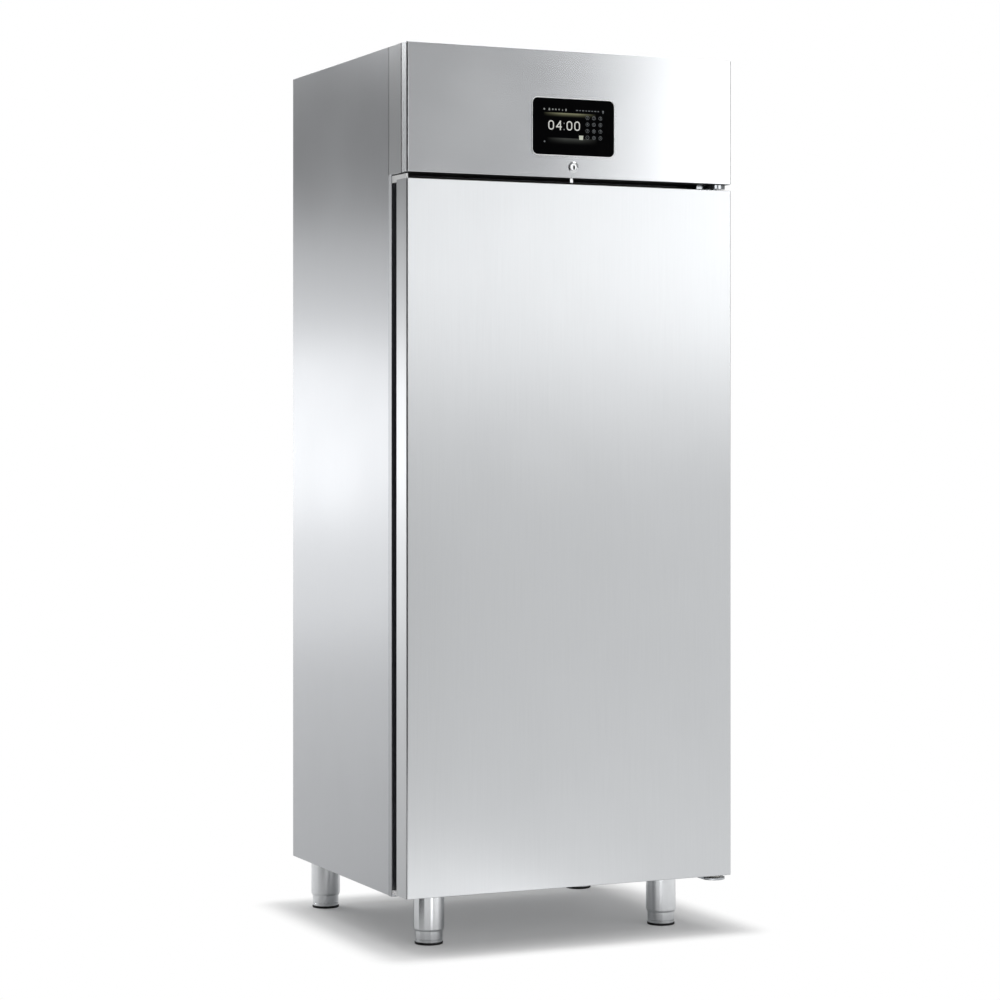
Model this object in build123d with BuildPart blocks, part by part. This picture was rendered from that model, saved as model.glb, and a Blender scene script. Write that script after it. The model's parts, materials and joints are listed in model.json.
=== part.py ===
from build123d import *
import os

# An upright bakery refrigerator with one door, a tilting header panel and four adjustable feet.
# Millimetres. The origin is on the floor under the middle of the cabinet, +X is to the right of
# someone who faces the door, +Y runs from the door to the back and +Z is up.

# Outer size of the steel body
WIDTH = 790
DEPTH = 707
HEIGHT = 1956
FRONT_PROUD = 1.5
REAR_PROUD = 9
SHEET = 1.2
FLANGE = 15
HALF = WIDTH / 2
FRONT = -(DEPTH + REAR_PROUD - FRONT_PROUD) / 2
BACK = FRONT + DEPTH

# Levels above the floor
BASE_Z = 117
DOOR_BOTTOM = 124
DOOR_TOP = 1664
HEADER_BOTTOM = 1678
DECK_Z = 1700
FRAME_TOP = HEADER_BOTTOM - 0.5

# Layers behind the front face, from the door to the cabinet
DOOR_SEAM = FRONT + 57
DOOR_REAR = FRONT + 73
SURROUND_FRONT = FRONT + 85
SURROUND_BACK = FRONT + 103
HEADER_DEPTH = 28
HEADER_GAP = 4
EDGE_RADIUS = 4

# Storage cavity
CAVITY_HALF = 330
CAVITY_BOTTOM = 177
CAVITY_TOP = 1618
CAVITY_BACK = BACK - 60
COVE_RADIUS = 15

# Door fittings
GRIP_WIDTH = 38
GRIP_TOP_CAP = 10
GRIP_BOTTOM_CAP = 16
PIVOT_X = HALF - 27
PIVOT_Y = FRONT + 35
PIN_RADIUS = 7
UPPER_BRACKET_REACH = 70
UPPER_BRACKET_THICK = 9.5
LOWER_BRACKET_REACH = 53
LOWER_BRACKET_THICK = 5
BRACKET_NOSE = 26
BUSH_RADIUS = 12
BUSH_LENGTH = 28
BUSH_SPANS = ((DOOR_BOTTOM, DOOR_BOTTOM + BUSH_LENGTH), (DOOR_TOP - BUSH_LENGTH, DOOR_TOP))
PIN_GRIP = 24
RUNNING_GAP = 0.05
GASKET_OUTER = 357
GASKET_WIDTH = 20
GASKET_MARGIN = 27
GASKET_GAP = 0.3
PLATEAU_HALF = 318
PLATEAU_DEPTH = 6
PLATEAU_MARGIN = 12

# Header fittings
TILT_Y = FRONT + 26
TILT_Z = HEIGHT - 5
TILT_PIN_RADIUS = 2.5
EAR_X = 382
EAR_THICK = 3
EAR_RADIUS = 3.6
LUG_X = 387
LUG_THICK = 3
DISPLAY_WIDTH = 198
DISPLAY_HEIGHT = 123.5
DISPLAY_Z = 1789
DISPLAY_CORNER = 12.5
BEZEL_WIDTH = 2
LOCK_Z = 1702
LOCK_FLANGE_RADIUS = 12.15
LOCK_BARREL_RADIUS = 9.5
LOCK_CYLINDER_RADIUS = 7.5
BOLT_WIDTH = 7
BOLT_THICK = 3
BOLT_Y = FRONT + 11
BOLT_TIP = 1668
BOLT_LENGTH = 26

# Legs and feet
LEG_RADIUS = 33.7
LEG_BOTTOM = 30
LEG_TAPER = 2.2
LEG_TAPER_HEIGHT = 4
FOOT_RADIUS = 30.3
FOOT_BOTTOM = 3
FOOT_TOP = 75
FOOT_WALL = 3
FOOT_SOLE = 5
PAD_RADIUS = 31.2
PAD_TOP = 5.5
LEG_PLATE = 76
LEG_PLATE_THICK = 4
LEG_SCREW_PITCH = 56
LEG_SCREW_RADIUS = 3
LEG_SCREW_HEAD = 5.5
LEG_SCREW_GRIP = 14
FRONT_LEG = (HALF - 108, FRONT + 135)
REAR_LEG = (HALF - 64, BACK - 50)

# Tray racks
TRAY_LEVELS = 16
TRAY_PITCH = 85
FIRST_RUNNER_Z = 250
RUNNER_FACE = 310
RUNNER_LIP = 25
RUNNER_DROP = 20
RUNNER_SHEET = 1.5
RUNNER_FRONT = FRONT + 122
RUNNER_LENGTH = 410
POST_WIDTH = 30
POST_SHEET = 2

# Cold-air side
DUCT_FRONT = CAVITY_BACK - 110
DUCT_HALF = 320
DUCT_BOTTOM = 190
DUCT_TOP = 1600
EVAPORATOR_FAN_Z = 1485
EVAPORATOR_FAN_RADIUS = 88
EVAPORATOR_SIZE = (480, 70, 180)
EVAPORATOR_ROWS = 6
EVAPORATOR_Z = 1280
COIL_PLATE = 2
BEND_RADIUS = 4.5

# Fans
HUB_RADIUS = 24
HUB_LENGTH = 24
SHAFT_RADIUS = 4
MOTOR_RADIUS = 32
BLADES = 5
BLADE_WIDTH = 52
BLADE_THICK = 2.4
BLADE_PITCH = 28

# Machine compartment
CONDENSER_X = -180
CONDENSER_Y = FRONT + 150
CONDENSER_Z = 1816
CONDENSER_SIZE = (300, 50, 210)
CONDENSER_ROWS = 8
CONDENSER_FAN_RADIUS = 90
CONDENSER_FAN_Y = CONDENSER_Y + 54
SHROUD_Y = CONDENSER_Y + 30
SHROUD_HALF = 105
SHROUD_PLATE_HALF = 152
SHROUD_COLLAR = 34
SHROUD_ARM = 90
COMPRESSOR = (190, 200)
COMPRESSOR_RADIUS = 76
COMPRESSOR_HEIGHT = 165
COMPRESSOR_DOME = 38
COMPRESSOR_PLATE = (200, 170, 4)
MOUNT_SPACING = (160, 130)
MOUNT_RADIUS = 12
MOUNT_HEIGHT = 14
STUB_REACH = 92
STUB_WIDTH = 16
SUCTION_Z = DECK_Z + 120
DISCHARGE_Z = DECK_Z + 80
DRIER = (30, 60, DECK_Z + 60)
DRIER_RADIUS = 14
DRIER_LENGTH = 90
DRIER_REACH = 55
PIPE_RADIUS = 4

# Mains inlet and electrical box
GLAND_X = -280
GLAND_Z = 1780
GLAND_BORE = 5
GLAND_BODY = 10.9
GLAND_REACH = 20
GLAND_NUT = 14
GLAND_NUT_THICK = 4
KNOCKOUT_RADIUS = 7
KNOCKOUT_DEPTH = 12
ELECTRICAL_BOX = (150, 120, 150)
LID_PROUD = 4
LID_Z = 128
LID_THICK = 6

# Vents
BACK_VENT_X = 120
BACK_VENT_Z = GLAND_Z + 45
BACK_VENT_SLOT = (260, 7)
BACK_VENT_PITCH = 20
BACK_VENT_ROWS = 8
TOP_VENT_SLOT = (240, 9)
TOP_VENT_PITCH = (300, 32)
TOP_VENT_COUNT = (2, 14)
DUCT_SLOT = (70, 8)
DUCT_SLOT_X = 235

os.makedirs("parts", exist_ok=True)


def save(piece, name):
    """Label a finished piece and write it as its own file."""
    piece.part.label = name
    export_step(piece.part, f"parts/{name}.step")


def block(x0, x1, y0, y1, z0, z1, mode=Mode.ADD):
    """A rectangular solid between two opposite corners."""
    with Locations(((x0 + x1) / 2, (y0 + y1) / 2, (z0 + z1) / 2)):
        Box(x1 - x0, y1 - y0, z1 - z0, mode=mode)


def wall_plane(y):
    """A plane facing the front at depth y, with local X to the right and local Y up."""
    return Plane.XZ.offset(-y)


def round_upright_edges(piece, radius):
    """Round the two vertical edges at the front of a box."""
    fillet(piece.edges().filter_by(Axis.Z).group_by(Axis.Y)[0], radius)


# Outer panels of the cabinet


def side_panel(name, side):
    """A full-height side sheet with a folded flange on all four edges."""
    outer = side * HALF
    inner = side * (HALF - FLANGE)
    with BuildPart() as panel:
        block(min(outer, inner), max(outer, inner), SURROUND_BACK, BACK, BASE_Z, HEIGHT)
        inner_face = panel.faces().sort_by(Axis.X)[0 if side > 0 else -1]
        offset(amount=-SHEET, openings=inner_face)
    save(panel, name)


def back_panel():
    """The back sheet, slotted where warm air leaves the machine compartment."""
    half = HALF - FLANGE
    with BuildPart() as panel:
        block(-half, half, BACK - SHEET, BACK, BASE_Z, HEIGHT)
        with BuildSketch(wall_plane(BACK)):
            with Locations((BACK_VENT_X, BACK_VENT_Z)):
                with GridLocations(1, BACK_VENT_PITCH, 1, BACK_VENT_ROWS):
                    SlotOverall(*BACK_VENT_SLOT)
            with Locations((GLAND_X, GLAND_Z)):
                Circle(GLAND_BODY + 0.1)
        extrude(amount=2 * SHEET, mode=Mode.SUBTRACT)
    save(panel, "back_panel")


def base_panel():
    """The bottom sheet with the screw holes of the four legs."""
    half = HALF - FLANGE
    with BuildPart() as panel:
        block(-half, half, SURROUND_BACK, BACK - SHEET, BASE_Z, BASE_Z + SHEET)
        for x, y in leg_places():
            with BuildSketch(Plane.XY.offset(BASE_Z)):
                with Locations((x, y)):
                    with GridLocations(LEG_SCREW_PITCH, LEG_SCREW_PITCH, 2, 2):
                        Circle(LEG_SCREW_RADIUS + 0.2)
            extrude(amount=SHEET, mode=Mode.SUBTRACT)
    save(panel, "base_panel")


def top_cover():
    """The lid of the machine compartment, with rows of vent slots."""
    half = HALF - FLANGE
    with BuildPart() as cover:
        block(-half, half, SURROUND_BACK, BACK - SHEET, HEIGHT - SHEET, HEIGHT)
        with BuildSketch(Plane.XY.offset(HEIGHT)):
            with GridLocations(*TOP_VENT_PITCH, *TOP_VENT_COUNT):
                SlotOverall(*TOP_VENT_SLOT)
        extrude(amount=-2 * SHEET, mode=Mode.SUBTRACT)
    save(cover, "top_cover")


def compartment_deck():
    """The floor of the machine compartment, folded down over the front of the foam."""
    half = HALF - SHEET
    with BuildPart() as deck:
        block(-half, half, SURROUND_BACK, BACK - SHEET, DECK_Z - SHEET, DECK_Z)
        block(-half, half, SURROUND_BACK, SURROUND_BACK + SHEET, HEADER_BOTTOM + SHEET, DECK_Z)
        flange_width = FLANGE - SHEET
        for side in (-1, 1):
            x0, x1 = sorted((side * half, side * (half - flange_width)))
            block(x0, x1, SURROUND_BACK, SURROUND_BACK + SHEET, BASE_Z, HEIGHT, mode=Mode.SUBTRACT)
            block(x0, x1, BACK - SHEET, BACK, BASE_Z, HEIGHT, mode=Mode.SUBTRACT)
    save(deck, "compartment_deck")


# Insulated body


def coved_box(grow, y0, y1):
    """The cavity's shape, larger by grow, with its four long edges rounded."""
    with BuildPart() as cavity:
        block(
            -CAVITY_HALF - grow, CAVITY_HALF + grow, y0, y1,
            CAVITY_BOTTOM - grow, CAVITY_TOP + grow,
        )
        fillet(cavity.edges().filter_by(Axis.Y), COVE_RADIUS + grow)
    return cavity.part


def inner_liner():
    """The coved steel lining of the cavity, open to the front."""
    with BuildPart() as liner:
        add(coved_box(SHEET, SURROUND_BACK, CAVITY_BACK + SHEET))
        add(coved_box(0, SURROUND_BACK, CAVITY_BACK), mode=Mode.SUBTRACT)
    save(liner, "inner_liner")


def cabinet_insulation():
    """The foam that fills the walls between the outer skins and the liner."""
    with BuildPart() as foam:
        block(
            -(HALF - SHEET), HALF - SHEET, SURROUND_BACK + SHEET, BACK - SHEET,
            BASE_Z + SHEET, DECK_Z - SHEET,
        )
        add(coved_box(SHEET, SURROUND_BACK, CAVITY_BACK + SHEET), mode=Mode.SUBTRACT)
        for x, y in leg_places():
            with BuildSketch(Plane.XY.offset(BASE_Z)):
                with Locations((x, y)):
                    with GridLocations(LEG_SCREW_PITCH, LEG_SCREW_PITCH, 2, 2):
                        Circle(LEG_SCREW_RADIUS + 0.2)
            extrude(amount=LEG_SCREW_GRIP, mode=Mode.SUBTRACT)
    save(foam, "cabinet_insulation")


def door_surround():
    """The frame round the opening, which the door's gasket closes on."""
    frame_height = FRAME_TOP - BASE_Z
    opening_height = CAVITY_TOP - CAVITY_BOTTOM
    with BuildPart() as surround:
        with BuildSketch(wall_plane(SURROUND_FRONT)):
            with Locations((0, BASE_Z + frame_height / 2)):
                Rectangle(WIDTH, frame_height)
            with Locations((0, CAVITY_BOTTOM + opening_height / 2)):
                RectangleRounded(2 * CAVITY_HALF, opening_height, COVE_RADIUS, mode=Mode.SUBTRACT)
        extrude(amount=-(SURROUND_BACK - SURROUND_FRONT))
        fillet(surround.edges().filter_by(Axis.Z).group_by(Axis.Y)[0].group_by(Axis.X)[0], 1.5)
        fillet(surround.edges().filter_by(Axis.Z).group_by(Axis.Y)[0].group_by(Axis.X)[-1], 1.5)
    save(surround, "door_surround")


# Legs and feet


def leg_places():
    """The four leg centres, front ones first."""
    return [(-FRONT_LEG[0], FRONT_LEG[1]), FRONT_LEG, (-REAR_LEG[0], REAR_LEG[1]), REAR_LEG]


def leg(name, x, y):
    """A flanged tube that is screwed under the base and guides the foot."""
    with BuildPart() as tube:
        with BuildSketch(Plane.XY.offset(BASE_Z)):
            with Locations((x, y)):
                RectangleRounded(LEG_PLATE, LEG_PLATE, 8)
                with GridLocations(LEG_SCREW_PITCH, LEG_SCREW_PITCH, 2, 2):
                    Circle(LEG_SCREW_RADIUS + 0.2, mode=Mode.SUBTRACT)
        extrude(amount=-LEG_PLATE_THICK)
        with BuildSketch(Plane(origin=(x, y, 0), x_dir=(1, 0, 0), z_dir=(0, -1, 0))):
            with BuildLine():
                Polyline(
                    (FOOT_RADIUS + RUNNING_GAP, LEG_BOTTOM),
                    (LEG_RADIUS - LEG_TAPER, LEG_BOTTOM),
                    (LEG_RADIUS, LEG_BOTTOM + LEG_TAPER_HEIGHT),
                    (LEG_RADIUS, BASE_Z - LEG_PLATE_THICK),
                    (FOOT_RADIUS + RUNNING_GAP, BASE_Z - LEG_PLATE_THICK),
                    close=True,
                )
            make_face()
        revolve(axis=Axis((x, y, 0), (0, 0, 1)))
    save(tube, name)


def foot(name, x, y):
    """The adjustable foot, a closed cup that runs in the leg."""
    with BuildPart() as cup:
        with BuildSketch(Plane.XY.offset(FOOT_BOTTOM)):
            with Locations((x, y)):
                Circle(FOOT_RADIUS)
        extrude(amount=FOOT_TOP - FOOT_BOTTOM)
        with BuildSketch(Plane.XY.offset(FOOT_BOTTOM + FOOT_SOLE)):
            with Locations((x, y)):
                Circle(FOOT_RADIUS - FOOT_WALL)
        extrude(amount=FOOT_TOP - FOOT_BOTTOM - FOOT_SOLE, mode=Mode.SUBTRACT)
    save(cup, name)


def foot_pad(name, x, y):
    """The ring-edged pad under a foot."""
    with BuildPart() as pad:
        with BuildSketch(Plane.XY):
            with Locations((x, y)):
                Circle(PAD_RADIUS)
        extrude(amount=PAD_TOP)
        with BuildSketch(Plane.XY.offset(FOOT_BOTTOM)):
            with Locations((x, y)):
                Circle(FOOT_RADIUS)
        extrude(amount=PAD_TOP - FOOT_BOTTOM, mode=Mode.SUBTRACT)
        fillet(pad.edges().filter_by(GeomType.CIRCLE).group_by(Axis.Z)[0], 0.8)
    save(pad, name)


def leg_screws():
    """The hexagon screws that hold the legs, four at each."""
    with BuildPart() as screws:
        for x, y in leg_places():
            with BuildSketch(Plane.XY.offset(BASE_Z - LEG_PLATE_THICK)):
                with Locations((x, y)):
                    with GridLocations(LEG_SCREW_PITCH, LEG_SCREW_PITCH, 2, 2):
                        RegularPolygon(LEG_SCREW_HEAD, 6)
            extrude(amount=-LEG_PLATE_THICK)
            with BuildSketch(Plane.XY.offset(BASE_Z - LEG_PLATE_THICK)):
                with Locations((x, y)):
                    with GridLocations(LEG_SCREW_PITCH, LEG_SCREW_PITCH, 2, 2):
                        Circle(LEG_SCREW_RADIUS)
            extrude(amount=LEG_PLATE_THICK + LEG_SCREW_GRIP)
    save(screws, "leg_screws")


# Door


def door_skin():
    """The outer pan of the door, open at its rear."""
    with BuildPart() as skin:
        block(-HALF, HALF, FRONT, DOOR_SEAM, DOOR_BOTTOM, DOOR_TOP)
        round_upright_edges(skin, EDGE_RADIUS)
        offset(amount=-SHEET, openings=skin.faces().sort_by(Axis.Y)[-1])
        for z in (DOOR_BOTTOM, DOOR_TOP - SHEET):
            with BuildSketch(Plane.XY.offset(z)):
                with Locations((PIVOT_X, PIVOT_Y)):
                    Circle(BUSH_RADIUS)
            extrude(amount=SHEET, mode=Mode.SUBTRACT)
        strike_block(0, DOOR_TOP, Mode.SUBTRACT)
    save(skin, "door_skin")


def strike_block(inset, top, mode):
    """The strike cup's outside, smaller by inset all round."""
    block(
        -14 + inset, 14 - inset, BOLT_Y - 7 + inset, BOLT_Y + 8 - inset,
        DOOR_TOP - 15 + inset, top, mode=mode,
    )


def strike_cup():
    """The pocket in the top of the door that the lock's bolt drops into."""
    with BuildPart() as cup:
        strike_block(0, DOOR_TOP, Mode.ADD)
        block(
            -BOLT_WIDTH, BOLT_WIDTH, BOLT_Y - 4, BOLT_Y + 4,
            DOOR_TOP - 13, DOOR_TOP, mode=Mode.SUBTRACT,
        )
    save(cup, "strike_cup")


def door_insulation():
    """The foam core of the door."""
    with BuildPart() as core:
        block(
            -(HALF - SHEET), HALF - SHEET, FRONT + SHEET, DOOR_SEAM,
            DOOR_BOTTOM + SHEET, DOOR_TOP - SHEET,
        )
        round_upright_edges(core, EDGE_RADIUS - SHEET)
        block(
            GRIP_WIDTH + SHEET - HALF, HALF - SHEET, DOOR_SEAM, DOOR_REAR - SHEET,
            DOOR_BOTTOM + SHEET, DOOR_TOP - SHEET,
        )
        plateau(SHEET, DOOR_REAR - SHEET)
        for z0, z1 in BUSH_SPANS:
            with BuildSketch(Plane.XY.offset(z0)):
                with Locations((PIVOT_X, PIVOT_Y)):
                    Circle(BUSH_RADIUS)
            extrude(amount=z1 - z0, mode=Mode.SUBTRACT)
        strike_block(0, DOOR_TOP, Mode.SUBTRACT)
    save(core, "door_insulation")


def plateau(inset, y0):
    """The raised middle of the door's inner panel, smaller by inset."""
    block(
        -PLATEAU_HALF + inset, PLATEAU_HALF - inset, y0, DOOR_REAR + PLATEAU_DEPTH - inset,
        CAVITY_BOTTOM + PLATEAU_MARGIN + inset, CAVITY_TOP - PLATEAU_MARGIN - inset,
    )


def door_inner_panel():
    """The inner pan of the door, with a raised middle inside the gasket."""
    left = GRIP_WIDTH - HALF
    with BuildPart() as panel:
        block(left, HALF, DOOR_SEAM, DOOR_REAR, DOOR_BOTTOM, DOOR_TOP)
        plateau(0, DOOR_REAR)
        fillet(panel.edges().filter_by(Axis.Z).group_by(Axis.Y)[-1], 3)
        block(
            left + SHEET, HALF - SHEET, DOOR_SEAM, DOOR_REAR - SHEET,
            DOOR_BOTTOM + SHEET, DOOR_TOP - SHEET, mode=Mode.SUBTRACT,
        )
        block(
            -PLATEAU_HALF + SHEET, PLATEAU_HALF - SHEET, DOOR_SEAM, DOOR_REAR + PLATEAU_DEPTH - SHEET,
            CAVITY_BOTTOM + PLATEAU_MARGIN + SHEET, CAVITY_TOP - PLATEAU_MARGIN - SHEET,
            mode=Mode.SUBTRACT,
        )
    save(panel, "door_inner_panel")


def gasket_ring(inset, width, y0, y1):
    """One layer of the gasket, a rectangular ring between depths y0 and y1."""
    outer_half = GASKET_OUTER - inset
    z0 = CAVITY_BOTTOM - GASKET_MARGIN + inset
    z1 = CAVITY_TOP + GASKET_MARGIN - inset
    with BuildSketch(wall_plane(y0)) as ring:
        with Locations((0, (z0 + z1) / 2)):
            Rectangle(2 * outer_half, z1 - z0)
            Rectangle(2 * (outer_half - width), z1 - z0 - 2 * width, mode=Mode.SUBTRACT)
    extrude(ring.sketch, amount=-(y1 - y0))


def door_gasket():
    """The soft seal: a wide base, a narrow bellows and a magnet head."""
    seal_face = SURROUND_FRONT - GASKET_GAP
    with BuildPart() as gasket:
        gasket_ring(0, GASKET_WIDTH, DOOR_REAR, DOOR_REAR + 3)
        gasket_ring(4, GASKET_WIDTH - 8, DOOR_REAR + 3, seal_face - 4.2)
        gasket_ring(1.5, GASKET_WIDTH - 3, seal_face - 4.2, seal_face)
    save(gasket, "door_gasket")


def grip_channel():
    """The dark full-height profile that lines the finger recess."""
    left = -HALF + SHEET
    right = GRIP_WIDTH - HALF
    z0 = DOOR_BOTTOM + GRIP_BOTTOM_CAP
    z1 = DOOR_TOP - GRIP_TOP_CAP
    with BuildPart() as channel:
        block(left, right, DOOR_SEAM, DOOR_SEAM + 1.5, z0, z1)
        block(right - 1.5, right, DOOR_SEAM, DOOR_REAR, z0, z1)
    save(channel, "grip_channel")


def grip_end_caps():
    """The two blocks that close the finger recess at its ends."""
    right = GRIP_WIDTH - HALF
    with BuildPart() as caps:
        block(-HALF, right, DOOR_SEAM, DOOR_REAR, DOOR_BOTTOM, DOOR_BOTTOM + GRIP_BOTTOM_CAP)
        block(-HALF, right, DOOR_SEAM, DOOR_REAR, DOOR_TOP - GRIP_TOP_CAP, DOOR_TOP)
    save(caps, "grip_end_caps")


def door_hinge_bushes():
    """The two bushes that turn on the hinge pins, the lower one with a thrust collar."""
    collar_bottom = BASE_Z + 0.3
    with BuildPart() as bushes:
        for z0, z1 in BUSH_SPANS:
            with BuildSketch(Plane.XY.offset(z0)):
                with Locations((PIVOT_X, PIVOT_Y)):
                    Circle(BUSH_RADIUS)
            extrude(amount=z1 - z0)
        with BuildSketch(Plane.XY.offset(collar_bottom)):
            with Locations((PIVOT_X, PIVOT_Y)):
                Circle(BUSH_RADIUS + 4)
        extrude(amount=DOOR_BOTTOM - collar_bottom)
        with BuildSketch(Plane.XY.offset(BASE_Z)):
            with Locations((PIVOT_X, PIVOT_Y)):
                Circle(PIN_RADIUS + RUNNING_GAP)
        extrude(amount=DOOR_TOP - BASE_Z, mode=Mode.SUBTRACT)
    save(bushes, "door_hinge_bushes")


# Hinges on the cabinet


def hinge_outline(z, x_left, y_back):
    """A plate outline with a half-round nose about the door's pivot."""
    with BuildSketch(Plane.XY.offset(z)) as outline:
        with Locations(((x_left + PIVOT_X + BRACKET_NOSE) / 2, (PIVOT_Y + y_back) / 2)):
            Rectangle(PIVOT_X + BRACKET_NOSE - x_left, y_back - PIVOT_Y)
        with Locations((PIVOT_X, PIVOT_Y)):
            Circle(BRACKET_NOSE)
            Circle(PIN_RADIUS, mode=Mode.SUBTRACT)
    return outline.sketch


def upper_hinge_bracket():
    """The thick plate under the header that holds the upper pin."""
    with BuildPart() as bracket:
        plate = hinge_outline(FRAME_TOP, HALF - UPPER_BRACKET_REACH, SURROUND_FRONT)
        extrude(plate, amount=-UPPER_BRACKET_THICK)
    save(bracket, "upper_hinge_bracket")


def lower_hinge_bracket():
    """The plate under the base that carries the door on the lower pin."""
    with BuildPart() as bracket:
        plate = hinge_outline(BASE_Z, HALF - LOWER_BRACKET_REACH, FRONT + 175)
        extrude(plate, amount=-LOWER_BRACKET_THICK)
    save(bracket, "lower_hinge_bracket")


def hinge_pins():
    """The two pins that the door turns on."""
    with BuildPart() as pins:
        lower_end = BASE_Z - LOWER_BRACKET_THICK
        for z0, z1 in ((lower_end, DOOR_BOTTOM + PIN_GRIP), (DOOR_TOP - PIN_GRIP, FRAME_TOP)):
            with BuildSketch(Plane.XY.offset(z0)):
                with Locations((PIVOT_X, PIVOT_Y)):
                    Circle(PIN_RADIUS)
            extrude(amount=z1 - z0)
    save(pins, "hinge_pins")


# Header


def header_frame():
    """The open sleeve that carries the tilting header panel."""
    front = FRONT + HEADER_DEPTH + HEADER_GAP
    back = SURROUND_BACK - 1
    with BuildPart() as frame:
        block(-HALF, HALF, front, back, FRAME_TOP, HEIGHT)
        block(
            -HALF + SHEET, HALF - SHEET, front + SHEET, back,
            FRAME_TOP + SHEET, HEIGHT - SHEET, mode=Mode.SUBTRACT,
        )
        block(
            -HALF + FLANGE, HALF - FLANGE, front, front + SHEET,
            FRAME_TOP + FLANGE, HEIGHT - FLANGE, mode=Mode.SUBTRACT,
        )
        for side in (-1, 1):
            with BuildSketch(Plane.YZ.offset(side * EAR_X - EAR_THICK / 2)):
                with Locations((TILT_Y, TILT_Z)):
                    Circle(EAR_RADIUS)
                with Locations((TILT_Y, TILT_Z - 8)):
                    Rectangle(2 * EAR_RADIUS, 16)
                with Locations(((TILT_Y - EAR_RADIUS + front + SHEET) / 2, TILT_Z - 12)):
                    Rectangle(front + SHEET - TILT_Y + EAR_RADIUS, 8)
                with Locations((TILT_Y, TILT_Z)):
                    Circle(TILT_PIN_RADIUS, mode=Mode.SUBTRACT)
            extrude(amount=EAR_THICK)
    save(frame, "header_frame")


def fascia_hinge_pins():
    """The two short pins that the header panel tilts on."""
    with BuildPart() as pins:
        for side in (-1, 1):
            x0, x1 = sorted((side * (EAR_X - EAR_THICK / 2), side * (LUG_X + LUG_THICK / 2 + 1)))
            with BuildSketch(Plane.YZ.offset(x0)):
                with Locations((TILT_Y, TILT_Z)):
                    Circle(TILT_PIN_RADIUS)
            extrude(amount=x1 - x0)
    save(pins, "fascia_hinge_pins")


def header_panel():
    """The shallow pan of the header, with cut-outs for the display, the lock and its bolt."""
    with BuildPart() as panel:
        block(-HALF, HALF, FRONT, FRONT + HEADER_DEPTH, HEADER_BOTTOM, HEIGHT)
        round_upright_edges(panel, EDGE_RADIUS)
        offset(amount=-SHEET, openings=panel.faces().sort_by(Axis.Y)[-1])
        with BuildSketch(wall_plane(FRONT)):
            with Locations((0, DISPLAY_Z)):
                RectangleRounded(DISPLAY_WIDTH + 0.8, DISPLAY_HEIGHT + 0.8, DISPLAY_CORNER)
            with Locations((0, LOCK_Z)):
                Circle(LOCK_BARREL_RADIUS + 0.1)
        extrude(amount=-SHEET, mode=Mode.SUBTRACT)
        block(-5.5, 5.5, BOLT_Y - 3, BOLT_Y + 3, HEADER_BOTTOM, HEADER_BOTTOM + SHEET, mode=Mode.SUBTRACT)
        for side in (-1, 1):
            with BuildSketch(Plane.YZ.offset(side * LUG_X - LUG_THICK / 2)):
                with Locations((TILT_Y - 2.5, TILT_Z - 1)):
                    Rectangle(11, 10)
                with Locations((TILT_Y, TILT_Z)):
                    Circle(TILT_PIN_RADIUS + RUNNING_GAP, mode=Mode.SUBTRACT)
            extrude(amount=LUG_THICK)
    save(panel, "header_panel")


def display_outline(y, grow):
    """The display's rounded outline on the front, larger by grow."""
    with BuildSketch(wall_plane(y)) as outline:
        with Locations((0, DISPLAY_Z)):
            RectangleRounded(DISPLAY_WIDTH + 2 * grow, DISPLAY_HEIGHT + 2 * grow, DISPLAY_CORNER + grow)
    return outline.sketch


def display_bezel():
    """The thin bright rim round the display."""
    with BuildPart() as bezel:
        extrude(display_outline(FRONT, BEZEL_WIDTH), amount=FRONT_PROUD)
        extrude(display_outline(FRONT, 0.1), amount=FRONT_PROUD, mode=Mode.SUBTRACT)
    save(bezel, "display_bezel")


def display_glass():
    """The touch glass, standing just below the rim."""
    with BuildPart() as glass:
        extrude(display_outline(FRONT - 1, 0), amount=-4)
    save(glass, "display_glass")


def controller_housing():
    """The closed box behind the display that holds the control board."""
    with BuildPart() as housing:
        block(-92, 92, FRONT + 3, FRONT + 25, DISPLAY_Z - 56, DISPLAY_Z + 56)
        fillet(housing.edges().filter_by(Axis.Y), 6)
        with Locations(Plane(origin=(60, FRONT + 25, DISPLAY_Z - 30), z_dir=(0, 1, 0))):
            Box(30, 12, 2, align=(Align.CENTER, Align.CENTER, Align.MIN))
    save(housing, "controller_housing")


def lock_housing():
    """The lock's rim, barrel and bolt guide."""
    with BuildPart() as housing:
        with BuildSketch(wall_plane(FRONT)):
            with Locations((0, LOCK_Z)):
                Circle(LOCK_FLANGE_RADIUS)
        extrude(amount=FRONT_PROUD)
        with BuildSketch(wall_plane(FRONT)):
            with Locations((0, LOCK_Z)):
                Circle(LOCK_BARREL_RADIUS)
        extrude(amount=-22)
        block(-12, 12, FRONT + 5, FRONT + 18, HEADER_BOTTOM + SHEET, LOCK_Z - 6)
        with BuildSketch(wall_plane(FRONT - FRONT_PROUD)):
            with Locations((0, LOCK_Z)):
                Circle(LOCK_CYLINDER_RADIUS + RUNNING_GAP)
        extrude(amount=-(22 + FRONT_PROUD), mode=Mode.SUBTRACT)
        block(
            -BOLT_WIDTH / 2 - RUNNING_GAP, BOLT_WIDTH / 2 + RUNNING_GAP,
            BOLT_Y - BOLT_THICK / 2 - RUNNING_GAP, BOLT_Y + BOLT_THICK / 2 + RUNNING_GAP,
            HEADER_BOTTOM + SHEET, LOCK_Z - LOCK_CYLINDER_RADIUS, mode=Mode.SUBTRACT,
        )
    save(housing, "lock_housing")


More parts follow.
